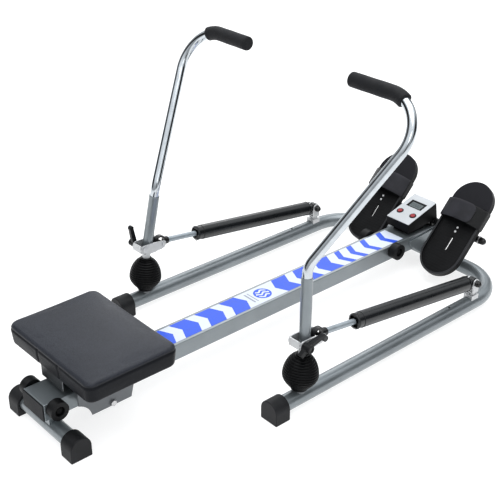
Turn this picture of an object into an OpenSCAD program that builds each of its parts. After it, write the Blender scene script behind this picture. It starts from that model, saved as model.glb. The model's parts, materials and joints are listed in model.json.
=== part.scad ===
// Rowing machine with two full-motion arms, hydraulic dampers, a sliding seat and
// rocking footrests. +Y points from the seat to the footrests, +X to the right arm's
// side, +Z up. The floor is z = 0 and the machine is symmetric about x = 0, apart from
// the two clamp levers, which rest at different angles. Sizes are in millimetres.

/* [Rail] */
// Width of the rail tube
rail_w = 80; // [76:1:84]
// Height of the rail tube
rail_h = 40; // [38:1:42]
// Height of the underside of the rail over the floor
rail_z = 61; // [60:0.5:62]
// Distance from the arm pivots back to the rail's rear end
rail_rear = 481; // [480:1:490]
// Distance from the arm pivots forward to the rail's front end
rail_front = 742; // [738:1:745]

/* [Base tubes] */
// Outer diameter of the base tube and the rear cross tube
base_d = 38; // [36:1:40]
// Height of the base tubes' centre lines over the floor
base_z = 27; // [27:0.5:28]
// Distance of each leg's centre line from the middle
leg_x = 280; // [270:1:290]
// Distance from the arm pivots forward to the front cross piece
base_front = 725; // [722:1:728]
// Centre-line radius of the two front bends
base_bend = 115; // [100:5:130]
// Distance from the arm pivots back to the rear cross tube
cross_rear = 452; // [448:1:454]
// Half length of the rear cross tube
cross_half = 118; // [110:1:120]
// Width of a foot cap
cap_w = 50; // [48:1:52]
// Length of a foot cap
cap_len = 40; // [36:1:42]

/* [Arms] */
// Height of the arm pivots over the floor
pivot_z = 81; // [80:0.5:82]
// Outer diameter of the painted lower arm tube
lower_d = 25; // [24:0.5:26]
// Outer diameter of the chromed upper arm tube
upper_d = 22; // [21:0.5:22]
// Diameter of the foam grip
grip_d = 33; // [30:1:36]
// Largest diameter of the rubber bellows
bellows_d = 80; // [76:1:84]

/* [Dampers] */
// Outer diameter of the damper cylinder
damper_d = 38; // [36:1:40]
// Diameter of the piston rod
rod_d = 14; // [12:1:14]
// Distance from the arm pivots forward to the front damper bolts
damper_front = 589; // [585:1:592]
// Outer diameter of the rod's eye
eye_d = 34; // [33:0.5:35]

/* [Seat] */
// Width of the seat cushion
seat_w = 312; // [280:2:320]
// Depth of the seat cushion, front to rear
seat_len = 225; // [201:2:231]
// Height of the cushion's underside over the floor
seat_z = 150; // [148:1:152]
// Thickness of the cushion
seat_t = 44; // [32:1:46]
// Distance from the arm pivots back to the middle of the seat
seat_back = 332; // [331:0.5:333]

/* [Footrests] */
// Length of a footrest
foot_len = 273; // [260:1:280]
// Width of a footrest
foot_w = 118; // [110:1:120]
// Tilt of the footrests from level
foot_tilt = 46; // [40:1:50]
// Distance of each footrest's middle from the middle of the machine
foot_x = 130; // [128:1:134]

/* [Console] */
// Width of the console
console_w = 76; // [70:1:80]

/* [Hidden] */
$fn = 48;
e = 0.01;

RIGHT = 1;
LEFT = -1;

// The arm pivots' place along the machine; it puts the origin under the middle of the object
pivot_y = -163.24;

tube_wall = 2;
rail_top = rail_z + rail_h;
base_r = base_d / 2;
base_bore = base_d - 2 * tube_wall;
fit = 0.05;           // radial running fit of a pin in its hole

// Rail furniture
decal_t = 0.3;
decal_w = 64;
decal_rear = 395;     // behind the pivots
decal_front = 612;    // before the pivots
plug_lip = 3;
bumper_d = 42;
bumper_in = 42;
bumper_out = 63;
bumper_z = 88;
bumper_rear = 457;
bumper_front = 565;
bumper_bolt_d = 8;

// Arm joint and yoke, seen from the pivot
lug_in = 11;          // inner face of a fork's lugs
lug_out = 16;         // outer face of a fork's lugs
lug_w = 15;
cross_pin_d = 8;
neck_d = 20;
neck_lean = 0.158;    // how far the neck leans forward for each millimetre it rises
yoke_in = 15.5;       // inner face of the yoke's plates
yoke_out = 19;        // outer face of the yoke's plates
yoke_floor = 70;      // underside of the yoke's floor over the pivot
eye_y = 50;           // the rod's eye, before and over the pivot
eye_z = 83;
lever_y = -6;         // the clamp lever's bolt, behind and over the pivot
lever_z = 86;
yoke_bolt_d = 8;
eye_bore = 25;        // wide, because the linkage is opened here
eye_sleeve_d = 9;
eye_w = 12;

// Arm tubes: the path's corners relative to the pivot, for the right arm
arm_path = [[1, 12.5, 75], [-19, 34, 244], [109, 253, 571], [-114, 243, 574]];
arm_bends = [0, 54, 84, 0];
lower_len = 148;      // visible length of the painted tube
upper_in = 90;        // length of the chromed tube inside the painted one
grip_len = 144;       // along the tube, from its end into the upper bend
bend_swell = 0.5;     // how much rounder the chromed tube grows where it is bent

// Damper
damper_bolt_z = 87;
damper_bolt_d = 10;
front_eye_d = 24;
front_eye_w = 14;
cyl_start = 30;       // distances along the damper from its front bolt
cyl_end = 412;
gland_end = 430;
cyl_bore = 34;
piston_at = 250;
piston_len = 14;

// Footrest: distances from the rocking axle, in the footrest's own frame
axle_y = 735;
axle_z = 114;
axle_d = 12;
axle_half = 197;
foot_face = 42;       // the face over the axle
foot_mid = -3;        // middle of the plate along its length
foot_floor = 10;      // thickness of the sole plate
foot_rim_h = 8;
foot_rim_t = 5;
toe_from = 68;
strap_from = 14;
strap_to = 66;
strap_t = 2.5;
strap_rise = 22;

// Seat carriage
carriage_out = 62;    // outer face of a side plate
carriage_t = 3;
carriage_top = 142;
roller_d = 30;
under_roller_d = 22;
roller_gap = 0.3;
roller_in = 21;
roller_out = 35;
carriage_bolt_d = 8;

// Console face: its near and far edges before the pivots, and its slope
console_near = [622.7, 139.4];
console_far = [732.2, 169.8];
face_t = 1.5;
case_wall = 2.5;
window_w = 50;
window_h = 28;
window_up = 20;
button_d = 13;
button_x = 22;
button_up = -21;

// ---- Frames, paths and shared shapes ----

function unit(v) = v / norm(v);

// Local Z along ez and local X as near to ex as it can be, at point o
module frame_at(o, ez, ex = [1, 0, 0]) {
    z = unit(ez);
    y = unit(cross(z, ex));
    x = cross(y, z);
    multmatrix([[x[0], y[0], z[0], o[0]], [x[1], y[1], z[1], o[1]],
                [x[2], y[2], z[2], o[2]], [0, 0, 0, 1]])
        children();
}

// A round bar from a to b
module bar(a, b, d) {
    frame_at(a, b - a, abs(unit(b - a)[0]) > 0.9 ? [0, 0, 1] : [1, 0, 0])
        cylinder(h = norm(b - a), d = d);
}

// Turn of a path at corner b, in degrees
function turn(a, b, c) = acos(max(-1, min(1, unit(b - a) * unit(c - b))));
// Length that a bend of radius r takes off each side of corner b
function taken(a, b, c, r) = r * tan(turn(a, b, c) / 2);

// The torus segment that rounds corner b with centre-line radius r, or its first share
module elbow(a, b, c, r, d, share = 1) {
    back = unit(a - b);
    ahead = unit(c - b);
    start = b + back * taken(a, b, c, r);
    centre = b + unit(back + ahead) * r / cos(turn(a, b, c) / 2);
    normal = cross(start - centre, -back);
    frame_at(centre, normal, start - centre)
        rotate_extrude(angle = share * turn(a, b, c), $fn = 96) translate([r, 0]) circle(d = d);
}

// A round bar along points p, with a bend of radius r[i] at each inner point. Where the
// bends are swelled, the straight parts reach a little way into them.
module bent_bar(p, r, d, swell = 0) {
    n = len(p) - 1;
    lap = swell > 0 ? 1.5 : 0;
    cut = [for (i = [0 : n]) i == 0 || i == n ? 0 : taken(p[i - 1], p[i], p[i + 1], r[i]) - lap];
    for (i = [0 : n - 1]) {
        dir = unit(p[i + 1] - p[i]);
        bar(p[i] + dir * cut[i], p[i + 1] - dir * cut[i + 1], d);
    }
    for (i = [1 : n - 1]) elbow(p[i - 1], p[i], p[i + 1], r[i], d + swell);
}

module mirrored(side) {
    mirror([side < 0 ? 1 : 0, 0, 0]) children();
}

module both_sides() {
    for (side = [RIGHT, LEFT]) mirrored(side) children();
}

// The frame of one side's arm pivot
module at_pivot(side) {
    mirrored(side) translate([leg_x, pivot_y, pivot_z]) children();
}

// A cylinder along X, centred on x = 0
module x_rod(d, len) {
    rotate([0, 90, 0]) cylinder(h = len, d = d, center = true);
}

// A cylinder along Y, centred on y = 0
module y_rod(d, len) {
    rotate([90, 0, 0]) cylinder(h = len, d = d, center = true);
}

// An outline in the YZ plane made t thick along X, from x = 0
module yz_plate(t) {
    rotate([90, 0, 90]) linear_extrude(t) children();
}

module rounded_rect(w, h, r) {
    square([w - 2 * r, h], center = true);
    square([w, h - 2 * r], center = true);
    for (x = [-1, 1], y = [-1, 1]) translate([x * (w / 2 - r), y * (h / 2 - r)]) circle(r);
}

// A slot outline with round ends, long along Y
module stadium(w, len) {
    square([w, len - w], center = true);
    for (y = [-1, 1]) translate([0, y * (len - w) / 2]) circle(d = w, $fn = 96);
}

// A hex nut or bolt head along X
module x_hex(across, t) {
    rotate([0, 90, 0]) cylinder(h = t, d = across / cos(30), $fn = 6);
}

// A nut with a round cap, its flat side at x = 0
module dome_nut(across, t) {
    x_hex(across, t);
    translate([t - e, 0, 0]) intersection() {
        sphere(d = across - 1);
        translate([0, -across, -across]) cube([across, 2 * across, 2 * across]);
    }
}

// ---- Frame ----

module base_tube() {
    rear = pivot_y - 82;
    front = pivot_y + base_front;
    path = [[-leg_x, rear, base_z], [-leg_x, front, base_z],
            [leg_x, front, base_z], [leg_x, rear, base_z]];
    bends = [0, base_bend, base_bend, 0];
    color("silver") difference() {
        bent_bar(path, bends, base_d);
        bent_bar(path, bends, base_bore);
        both_sides() translate([leg_x, pivot_y + 505, base_z]) cylinder(h = base_d, d = 6);
    }
}

module rail() {
    len = rail_rear + rail_front;
    color("silver") difference() {
        translate([-rail_w / 2, pivot_y - rail_rear, rail_z]) cube([rail_w, len, rail_h]);
        translate([-rail_w / 2 + tube_wall, pivot_y - rail_rear - 1, rail_z + tube_wall])
            cube([rail_w - 2 * tube_wall, len + 2, rail_h - 2 * tube_wall]);
        for (y = [-bumper_rear, bumper_front])
            translate([0, pivot_y + y, bumper_z]) x_rod(bumper_bolt_d + 2 * fit, rail_w + 10);
    }
}

module rail_decal() {
    color("white") translate([-decal_w / 2, pivot_y - decal_rear, rail_top])
        cube([decal_w, decal_rear + decal_front, decal_t]);
}

module rear_cross_tube() {
    color("silver") translate([0, pivot_y - cross_rear, base_z]) difference() {
        x_rod(base_d, 2 * cross_half);
        x_rod(base_bore, 2 * cross_half + 2);
    }
}

// The saddle under the rail's rear end, the block under its front end, and the two
// gusset plates that tie the rail's front end to the base tube
module frame_brackets() {
    saddle_w = 60;
    saddle_len = 30;
    gusset_t = 4;
    color("silver") {
        difference() {
            translate([-saddle_w / 2, pivot_y - cross_rear - saddle_len / 2, base_z])
                cube([saddle_w, saddle_len, rail_z - base_z]);
            translate([0, pivot_y - cross_rear, base_z]) x_rod(base_d, saddle_w + 2);
        }
        difference() {
            translate([-saddle_w / 2, pivot_y + base_front - saddle_len / 2, base_z])
                cube([saddle_w, saddle_len, rail_z - base_z]);
            translate([0, pivot_y + base_front, base_z]) x_rod(base_d, saddle_w + 2);
        }
        both_sides() difference() {
            translate([rail_w / 2, pivot_y, 0]) yz_plate(gusset_t)
                polygon([[628, 78], [628, 90], [746, 99], [746, 46], [738, 34], [700, 34], [676, 42]]);
            translate([rail_w / 2, pivot_y + base_front, base_z]) x_rod(base_d, 20);
        }
    }
}

module rail_end_plugs() {
    insert = 18;
    color("black") {
        for (end = [[pivot_y - rail_rear, 1], [pivot_y + rail_front, -1]])
            translate([0, end[0], rail_z + rail_h / 2]) rotate([end[1] * 90, 0, 0]) {
                linear_extrude(plug_lip) rounded_rect(rail_w - 1, rail_h - 1, 2);
                translate([0, 0, -insert + e]) linear_extrude(insert)
                    square([rail_w - 2 * tube_wall - 0.4, rail_h - 2 * tube_wall - 0.4], center = true);
            }
    }
}

// One cap over a tube end: the tube runs along +Y from the cap's closed face at y = 0
module foot_cap() {
    bore_len = cap_len - 6;
    difference() {
        rotate([90, 0, 180]) linear_extrude(cap_len) {
            translate([0, base_z]) circle(d = cap_w, $fn = 96);
            translate([-cap_w / 2, 0]) square([cap_w, base_z]);
        }
        translate([0, cap_len - bore_len, base_z]) rotate([-90, 0, 0])
            cylinder(h = bore_len + 1, d = base_d);
    }
}

module foot_caps() {
    color("black") both_sides() {
        translate([leg_x, pivot_y - 82 - 6, 0]) mirror([1, 0, 0]) foot_cap();
        translate([cross_half + 6, pivot_y - cross_rear, 0]) rotate([0, 0, 90]) foot_cap();
    }
}

module rail_bumpers() {
    recess_d = 22;
    recess = 8;
    color("black") both_sides() for (y = [-bumper_rear, bumper_front])
        translate([0, pivot_y + y, bumper_z]) difference() {
            union() {
                translate([bumper_in, 0, 0]) rotate([0, 90, 0])
                    cylinder(h = bumper_out - bumper_in, d = bumper_d);
                translate([rail_w / 2, 0, 0]) rotate([0, 90, 0])
                    cylinder(h = bumper_in - rail_w / 2 + e, d = recess_d);
            }
            translate([bumper_out - recess, 0, 0]) rotate([0, 90, 0])
                cylinder(h = recess + 1, d = recess_d);
            x_rod(bumper_bolt_d, 2 * bumper_out);
        }
}

module bumper_bolts() {
    head_at = bumper_out - 8;
    color("gray") for (y = [-bumper_rear, bumper_front])
        translate([0, pivot_y + y, bumper_z]) {
            x_rod(bumper_bolt_d, 2 * head_at);
            both_sides() translate([head_at - e, 0, 0]) x_hex(13, 5);
        }
}

// The fixed fork under each arm: a foot on the leg and two lugs that hold the swing pin
module arm_mounts() {
    foot_d = 29;
    color("gray") for (side = [RIGHT, LEFT]) at_pivot(side) difference() {
        union() {
            translate([0, 0, base_z - pivot_z + 10]) cylinder(h = 20, d = foot_d);
            for (s = [RIGHT, LEFT]) mirrored(s) {
                translate([lug_in, -lug_w / 2, -28]) cube([lug_out - lug_in, lug_w, 28]);
                translate([lug_in, 0, 0]) rotate([0, 90, 0]) cylinder(h = lug_out - lug_in, d = lug_w);
            }
        }
        translate([0, 0, base_z - pivot_z]) y_rod(base_d, foot_d + 10);
        x_rod(cross_pin_d + 2 * fit, 50);
    }
}

// The damper's fixed base on each leg: a welded block, a washer and the swivel pin
module damper_mounts() {
    block = 26;
    color("silver") both_sides() translate([leg_x, pivot_y + damper_front, 0]) difference() {
        union() {
            translate([-block / 2, -block / 2, base_z]) cube([block, block, 27]);
            translate([0, 0, base_z]) cylinder(h = 31, d = 20);
            translate([0, 0, base_z]) cylinder(h = 37.5, d = damper_bolt_d);
            translate([0, 0, 64.3]) rotate([0, 0, 30]) cylinder(h = 4, d = 17 / cos(30), $fn = 6);
        }
        translate([0, 0, base_z]) y_rod(base_d, block + 10);
    }
}

// The black saddle on the rail's front end that the footrests' axle lies in
module axle_bracket() {
    half = 36;
    near = axle_y - 12;
    len = 19;
    high = 18.5;
    color("black") translate([0, pivot_y, 0]) difference() {
        union() {
            translate([-half, near, rail_top]) cube([2 * half, len, 3]);
            for (x = [-half, -4, half - 8]) translate([x, near, rail_top]) cube([8, len, high]);
        }
        translate([0, axle_y, axle_z]) x_rod(axle_d, 2 * half + 2);
    }
}

module footrest_axle() {
    color("gray") translate([0, pivot_y + axle_y, axle_z]) x_rod(axle_d, 2 * axle_half);
}

// Spacer tubes, washers and the round nuts on the axle's ends
module axle_hardware() {
    spans = [[console_w / 2 + 0.5, foot_x - 37], [foot_x - 24.5, foot_x + 24.5], [foot_x + 37, 183]];
    color("black") both_sides() translate([0, pivot_y + axle_y, axle_z]) {
        for (s = spans) translate([s[0], 0, 0]) difference() {
            rotate([0, 90, 0]) cylinder(h = s[1] - s[0], d = 19);
            rotate([0, 90, 0]) translate([0, 0, -1]) cylinder(h = s[1] - s[0] + 2, d = axle_d);
        }
        translate([184, 0, 0]) difference() {
            union() {
                rotate([0, 90, 0]) cylinder(h = 3, d = 22);
                translate([3 - e, 0, 0]) dome_nut(18, 9);
            }
            translate([-1, 0, 0]) rotate([0, 90, 0]) cylinder(h = axle_half - 183, d = axle_d);
        }
    }
}

// ---- Console ----

console_slope = atan2(console_far[1] - console_near[1], console_far[0] - console_near[0]);
console_len = norm(console_far - console_near);

// The console face's own frame: X across, Y up the slope, Z out of the face
module at_console_face() {
    mid = (console_near + console_far) / 2;
    translate([0, pivot_y + mid[0], mid[1]]) rotate([console_slope, 0, 0]) children();
}

console_foot_near = [627, 113];
console_foot_far = [741, 121];

module console_mount() {
    half = 26;
    near = 640;
    far = 700;
    rise = (console_foot_far[1] - console_foot_near[1]) / (console_foot_far[0] - console_foot_near[0]);
    color("black") translate([-half, pivot_y, 0]) yz_plate(2 * half) polygon([
        [near, rail_top], [far, rail_top],
        [far, console_foot_near[1] + (far - console_foot_near[0]) * rise],
        [near, console_foot_near[1] + (near - console_foot_near[0]) * rise]
    ]);
}

module console_case() {
    color("black") difference() {
        translate([-console_w / 2, pivot_y, 0]) yz_plate(console_w) intersection() {
            polygon([console_foot_near, console_near, console_far, console_foot_far]);
            translate((console_near + console_far) / 2) rotate(console_slope)
                translate([-console_len, -60 - face_t]) square([2 * console_len, 60]);
        }
        translate([-console_w / 2 + case_wall, pivot_y, 0]) yz_plate(console_w - 2 * case_wall)
            polygon([
                console_foot_near + [case_wall + 1, case_wall], console_near + [case_wall, 0],
                console_near + [case_wall, 10], console_far + [-case_wall, 10],
                console_far + [-case_wall, 0], console_foot_far + [-case_wall - 1, case_wall]
            ]);
    }
}

module console_face() {
    color("gainsboro") at_console_face() translate([0, 0, -face_t]) difference() {
        linear_extrude(face_t) rounded_rect(console_w, console_len, 2);
        translate([-window_w / 2, window_up - window_h / 2, -1]) cube([window_w, window_h, face_t + 2]);
        for (x = [-button_x, button_x]) translate([x, button_up, -1])
            cylinder(h = face_t + 2, d = button_d + 1);
    }
}

module console_window() {
    color("darkslategray") at_console_face()
        translate([-window_w / 2, window_up - window_h / 2, -face_t])
            cube([window_w, window_h, face_t - 0.2]);
}

// The circuit board under the face, its display, its two switches and the battery
module console_board() {
    color("green") at_console_face() {
        translate([-32, -48, -12]) cube([64, 94, 1.6]);
        translate([-20, window_up - 10, -10.4]) cube([40, 20, 4]);
        for (x = [-button_x, button_x]) translate([x - 3, button_up - 3, -10.4]) cube([6, 6, 2.4]);
        translate([0, 30, -20]) x_rod(12, 40);
    }
}

module console_button(x) {
    color("red") at_console_face() translate([x, button_up, 0]) {
        translate([0, 0, -3]) cylinder(h = 5, d = button_d);
        translate([0, 0, -6]) cylinder(h = 4, d = 5);
        translate([0, 0, -4.5]) cylinder(h = 2, d = button_d + 3);
    }
}

module button_left() console_button(-button_x);
module button_right() console_button(button_x);

// ---- Seat ----

seat_y = pivot_y - seat_back;

board_inset = 14;

// Outline of the board that the cushion is stuffed on, made wider all round by more
module board_outline(more = 0) {
    cut = 2 * (board_inset - more);
    rounded_rect(seat_w - cut, seat_len - cut, 18);
}

// The cushion's cover wraps down round the board, which sits in its underside
module seat_cushion() {
    skirt = 7;
    edge = 8;
    color("dimgray") translate([0, seat_y, seat_z]) difference() {
        union() {
            translate([0, 0, -skirt]) linear_extrude(seat_t + skirt - edge)
                rounded_rect(seat_w, seat_len, 24);
            translate([0, 0, seat_t - edge - e]) linear_extrude(edge)
                rounded_rect(seat_w - 10, seat_len - 10, 20);
        }
        translate([0, 0, -skirt - 1]) linear_extrude(skirt + 1) board_outline(0.2);
    }
}

module seat_board() {
    color("black") translate([0, seat_y, carriage_top])
        linear_extrude(seat_z - carriage_top) board_outline();
}

// The rollers' axles, as [distance from the pivots, height]: two on the rail, one under it
upper_roller_z = rail_top + decal_t + roller_gap + roller_d / 2;
under_roller_z = rail_z - roller_gap - under_roller_d / 2;
roller_places = [[-385, upper_roller_z], [-280, upper_roller_z], [-seat_back, under_roller_z]];
REAR = 0;
FRONT = 1;
UNDER = 2;

// Folded steel: a top plate, two side plates with an arched rear and a rear tongue
module seat_carriage() {
    arch_r = 48;
    back = -434.5;
    plate_back = -414;
    plate_front = -252;
    tongue_w = 80;
    tongue_low = 114;
    plate = [[plate_back, carriage_top], [plate_back, 42], [-284, 42], [-278, 66],
             [plate_front, carriage_top]];
    color("dimgray") translate([0, pivot_y, 0]) difference() {
        union() {
            both_sides() translate([carriage_out - carriage_t, 0, 0]) yz_plate(carriage_t)
                difference() {
                    polygon(plate);
                    translate([-430, 33]) circle(r = arch_r, $fn = 96);
                }
            translate([-carriage_out, plate_back, carriage_top - carriage_t])
                cube([2 * carriage_out, plate_front - plate_back, carriage_t]);
            translate([-tongue_w / 2, back, carriage_top - carriage_t])
                cube([tongue_w, plate_back - back + e, carriage_t]);
            translate([-tongue_w / 2, back, tongue_low])
                cube([tongue_w, carriage_t, carriage_top - tongue_low]);
        }
        for (place = roller_places) translate([0, place[0], place[1]])
            x_rod(carriage_bolt_d, 2 * carriage_out + 2);
    }
}

module carriage_bolt() {
    x_rod(carriage_bolt_d, 2 * carriage_out + 6);
    both_sides() translate([carriage_out, 0, 0]) x_hex(13, 5.5);
}

module at_roller(which) {
    translate([0, pivot_y + roller_places[which][0], roller_places[which][1]]) children();
}

module carriage_bolts() {
    color("lightgray") for (which = [REAR, FRONT, UNDER]) at_roller(which) carriage_bolt();
}

module roller_pair(d) {
    color("black") difference() {
        union() {
            both_sides() translate([roller_in, 0, 0]) rotate([0, 90, 0])
                cylinder(h = roller_out - roller_in, d = d);
            x_rod(13, 2 * roller_in + 2);
        }
        x_rod(carriage_bolt_d + 2 * fit, 2 * roller_out + 2);
    }
}

module roller_rear() at_roller(REAR) roller_pair(roller_d);
module roller_front() at_roller(FRONT) roller_pair(roller_d);
module roller_lower() at_roller(UNDER) roller_pair(under_roller_d);

// ---- Arms ----

bellows_low = -33;    // the bellows' foot and neck over the pivot
bellows_high = 50;
bellows_low_r = 17;
bellows_high_r = 13.5;

// Radius of the bellows at height t, which runs from 0 at its foot to 1 at its neck
function bellows_r(t) = t < 0.42
    ? bellows_low_r + (bellows_d / 2 - bellows_low_r) * pow(sin(90 * t / 0.42), 1.1)
    : bellows_high_r + (bellows_d / 2 - bellows_high_r) * pow(max(0, cos(90 * (t - 0.42) / 0.58)), 0.55);

module bellows(side) {
    steps = 12;
    skin = 2;
    rise = bellows_high - bellows_low;
    color("black") at_pivot(side) translate([0, 0, bellows_low])
        rotate([-atan(bellows_high * neck_lean / rise), 0, 0])
            rotate_extrude($fn = 64) polygon(concat(
                [for (i = [0 : steps]) [bellows_r(i / steps), rise * i / steps]],
                [for (i = [steps : -1 : 0]) [bellows_r(i / steps) - skin, rise * i / steps]]
            ));
}

// The universal joint's cross: its X pins turn in the fixed fork, its Y pins in the arm's
module joint_cross(side) {
    block = 2 * lug_in - 1;
    color("gray") at_pivot(side) {
        translate([-block / 2, -block / 2, -6]) cube([block, block, 12]);
        x_rod(cross_pin_d, 2 * lug_out);
        y_rod(cross_pin_d, 2 * lug_out);
    }
}

// Outline of one yoke plate, seen from the side
module yoke_outline() {
    translate([lever_y, lever_z]) circle(r = 11);
    polygon([[-6, 75], [0, 73], [14, 72], [26, 71.5], [44, 71], [54, 75], [57, 80],
             [57, 89], [54, 91], [20, 96], [-6, 97]]);
}

// The arm's fork, neck and yoke, welded into one piece
module arm_yoke(side) {
    fork_top = 19;
    color("lightgray") at_pivot(side) difference() {
        union() {
            for (a = [0, 180]) rotate([0, 0, a]) {
                translate([-lug_w / 2, lug_in, 0]) cube([lug_w, lug_out - lug_in, fork_top + 1]);
                translate([0, (lug_in + lug_out) / 2, 0]) y_rod(lug_w, lug_out - lug_in);
            }
            translate([-lug_w / 2, -lug_out, fork_top]) cube([lug_w, 2 * lug_out, 6]);
            bar([0, (fork_top + 3) * neck_lean, fork_top + 3],
                [0, (yoke_floor + 1) * neck_lean, yoke_floor + 1], neck_d);
            translate([-yoke_out, -8, yoke_floor]) cube([2 * yoke_out, 38, 3]);
            translate([-yoke_in - 0.5, lever_y - 11, 77]) cube([2 * yoke_in + 1, 3.5, 19]);
            both_sides() translate([yoke_in, 0, 0]) yz_plate(yoke_out - yoke_in) yoke_outline();
        }
        y_rod(cross_pin_d + 2 * fit, 50);
        translate([0, eye_y, eye_z]) x_rod(yoke_bolt_d, 2 * yoke_out + 2);
        translate([0, lever_y, lever_z]) x_rod(yoke_bolt_d, 2 * yoke_out + 2);
    }
}

arm_dir = unit(arm_path[1] - arm_path[0]);

module lower_tube(side) {
    color("silver") at_pivot(side) difference() {
        bar(arm_path[0], arm_path[0] + arm_dir * lower_len, lower_d);
        bar(arm_path[0] - arm_dir, arm_path[0] + arm_dir * (lower_len + 1), upper_d + 0.4);
    }
}

module upper_tube(side) {
    path = concat([arm_path[0] + arm_dir * (lower_len - upper_in)],
                  [for (i = [1 : 3]) arm_path[i]]);
    color("white") at_pivot(side) difference() {
        bent_bar(path, arm_bends, upper_d, bend_swell);
        bent_bar(path, arm_bends, upper_d - 2 * tube_wall, bend_swell);
    }
}

// The upper tube's end from d across: a straight part that starts short of the end by more,
// and the first part of the bend, up to len from the end
module arm_end(d, more, len) {
    end = arm_path[3];
    corner = arm_path[2];
    along = unit(corner - end);
    straight = norm(corner - end) - taken(end, corner, arm_path[1], arm_bends[2]);
    bent = (len - straight) / arm_bends[2] * 180 / PI / turn(end, corner, arm_path[1]);
    bar(end - along * more, end + along * (straight + 1.5), d);
    elbow(end, corner, arm_path[1], arm_bends[2], d + bend_swell, bent);
}

module grip(side) {
    cap = 3.5;
    color("black") at_pivot(side) difference() {
        arm_end(grip_d, cap, grip_len);
        arm_end(upper_d + 0.1, 0, grip_len + 2);
    }
}

// The rod's cross bolt with its round outer nut, and the clamp bolt behind the tube, both
// with low heads on the inner side
module yoke_bolts(side) {
    color("black") at_pivot(side) {
        translate([0, eye_y, eye_z]) {
            translate([2.5, 0, 0]) x_rod(yoke_bolt_d, 2 * yoke_out + 9);
            x_rod(eye_sleeve_d, 2 * yoke_in - 1);
            translate([yoke_out, 0, 0]) rotate([0, 90, 0]) cylinder(h = 8, d = 14);
            translate([-yoke_out - 2.5, 0, 0]) rotate([0, 90, 0]) cylinder(h = 2.5, d = 11);
        }
        translate([0, lever_y, lever_z]) {
            translate([10, 0, 0]) x_rod(yoke_bolt_d, 2 * yoke_out + 20);
            translate([-yoke_out - 2.5, 0, 0]) rotate([0, 90, 0]) cylinder(h = 2.5, d = 15);
        }
    }
}

// The clamp's lever: a barrel on the clamp bolt, a cam nose and a flat handle
module clamp_lever(side, angle) {
    barrel_at = yoke_out + 0.5;
    barrel_w = 21;
    handle_w = 10;
    color("black") at_pivot(side) translate([0, lever_y, lever_z]) rotate([angle, 0, 0]) difference() {
        union() {
            translate([barrel_at, 0, 0]) rotate([0, 90, 0]) cylinder(h = barrel_w, d = 18);
            translate([barrel_at + 2, 0, 0]) yz_plate(handle_w) {
                polygon([[0, -6.5], [46, -5], [46, 5], [0, 6.5]]);
                translate([46, 0]) circle(r = 6);
                rotate(25) polygon([[0, -6.5], [-24, -6.5], [-24, 5.5], [0, 6.5]]);
            }
        }
        translate([barrel_at + 6, 0, 0]) x_rod(yoke_bolt_d + 2 * fit, barrel_w + 20);
    }
}

lever_rest_right = 12;
lever_rest_left = 100;

// ---- Dampers ----

damper_foot = [leg_x, pivot_y + damper_front, damper_bolt_z];
damper_head = [leg_x, pivot_y + eye_y, pivot_z + eye_z];
damper_len = norm(damper_head - damper_foot);

// The damper's own frame: Z runs from the front bolt to the rod's eye
module at_damper(side) {
    mirrored(side) frame_at(damper_foot, damper_head - damper_foot) children();
}

module damper_clevis(side) {
    plate_in = 9;
    plate_t = 3.5;
    web_z = 60.3;
    color("silver") mirrored(side) translate([leg_x, pivot_y + damper_front, 0]) difference() {
        union() {
            translate([-plate_in - plate_t, -11, web_z]) cube([2 * (plate_in + plate_t), 22, 3.5]);
            both_sides() translate([plate_in, 0, 0]) yz_plate(plate_t) {
                translate([-11, web_z]) square([22, damper_bolt_z - web_z]);
                translate([0, damper_bolt_z]) circle(r = 11);
            }
        }
        translate([0, 0, damper_bolt_z]) x_rod(damper_bolt_d, 40);
        translate([0, 0, web_z - 1]) cylinder(h = 10, d = damper_bolt_d + 2 * fit);
    }
}

module damper_bolt(side) {
    color("black") mirrored(side) translate(damper_foot) {
        x_rod(damper_bolt_d, 28);
        both_sides() translate([12.5, 0, 0]) dome_nut(16, 6);
    }
}

module damper_cylinder(side) {
    color("black") at_damper(side) difference() {
        union() {
            x_rod(front_eye_d, front_eye_w);
            cylinder(h = cyl_start + 2, d = 16);
            translate([0, 0, cyl_start - 8]) cylinder(h = 8 + e, d1 = 26, d2 = damper_d);
            translate([0, 0, cyl_start]) cylinder(h = cyl_end - cyl_start, d = damper_d);
        }
        x_rod(damper_bolt_d + 2 * fit, front_eye_w + 30);
        translate([0, 0, cyl_start + 8]) cylinder(h = cyl_end, d = cyl_bore);
    }
}

// The screwed-in end of the cylinder, with four notches round the rod
module damper_gland(side) {
    notch_d = 9;
    color("black") at_damper(side) difference() {
        union() {
            translate([0, 0, cyl_end]) cylinder(h = gland_end - cyl_end - 3, d = damper_d - 2);
            translate([0, 0, gland_end - 3 - e]) cylinder(h = 3, d1 = damper_d - 2, d2 = damper_d - 8);
            translate([0, 0, cyl_end - 16]) cylinder(h = 16 + e, d = cyl_bore);
        }
        translate([0, 0, cyl_end - 20]) cylinder(h = 60, d = rod_d + 2 * fit);
        translate([0, 0, gland_end - 8]) cylinder(h = 20, d = 20);
        for (a = [45 : 90 : 315]) rotate([0, 0, a]) translate([10, 0, gland_end - 8])
            cylinder(h = 20, d = notch_d);
    }
}

module damper_rod(side) {
    color("white") at_damper(side) {
        translate([0, 0, piston_at]) cylinder(h = piston_len, d = cyl_bore - 2 * fit);
        translate([0, 0, piston_at]) cylinder(h = damper_len - eye_d / 2 - 4 - piston_at, d = rod_d);
    }
}

module rod_eye(side) {
    collar_len = 8;
    color("black") at_damper(side) difference() {
        union() {
            translate([0, 0, damper_len]) x_rod(eye_d, eye_w);
            translate([0, 0, damper_len - eye_d / 2 - collar_len]) cylinder(h = collar_len + 3, d = 19);
        }
        translate([0, 0, damper_len]) x_rod(eye_bore, eye_w + 20);
        translate([0, 0, damper_len - 100]) cylinder(h = 100 - eye_d / 2 - 4, d = rod_d);
    }
}

// ---- Footrests ----

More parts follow.
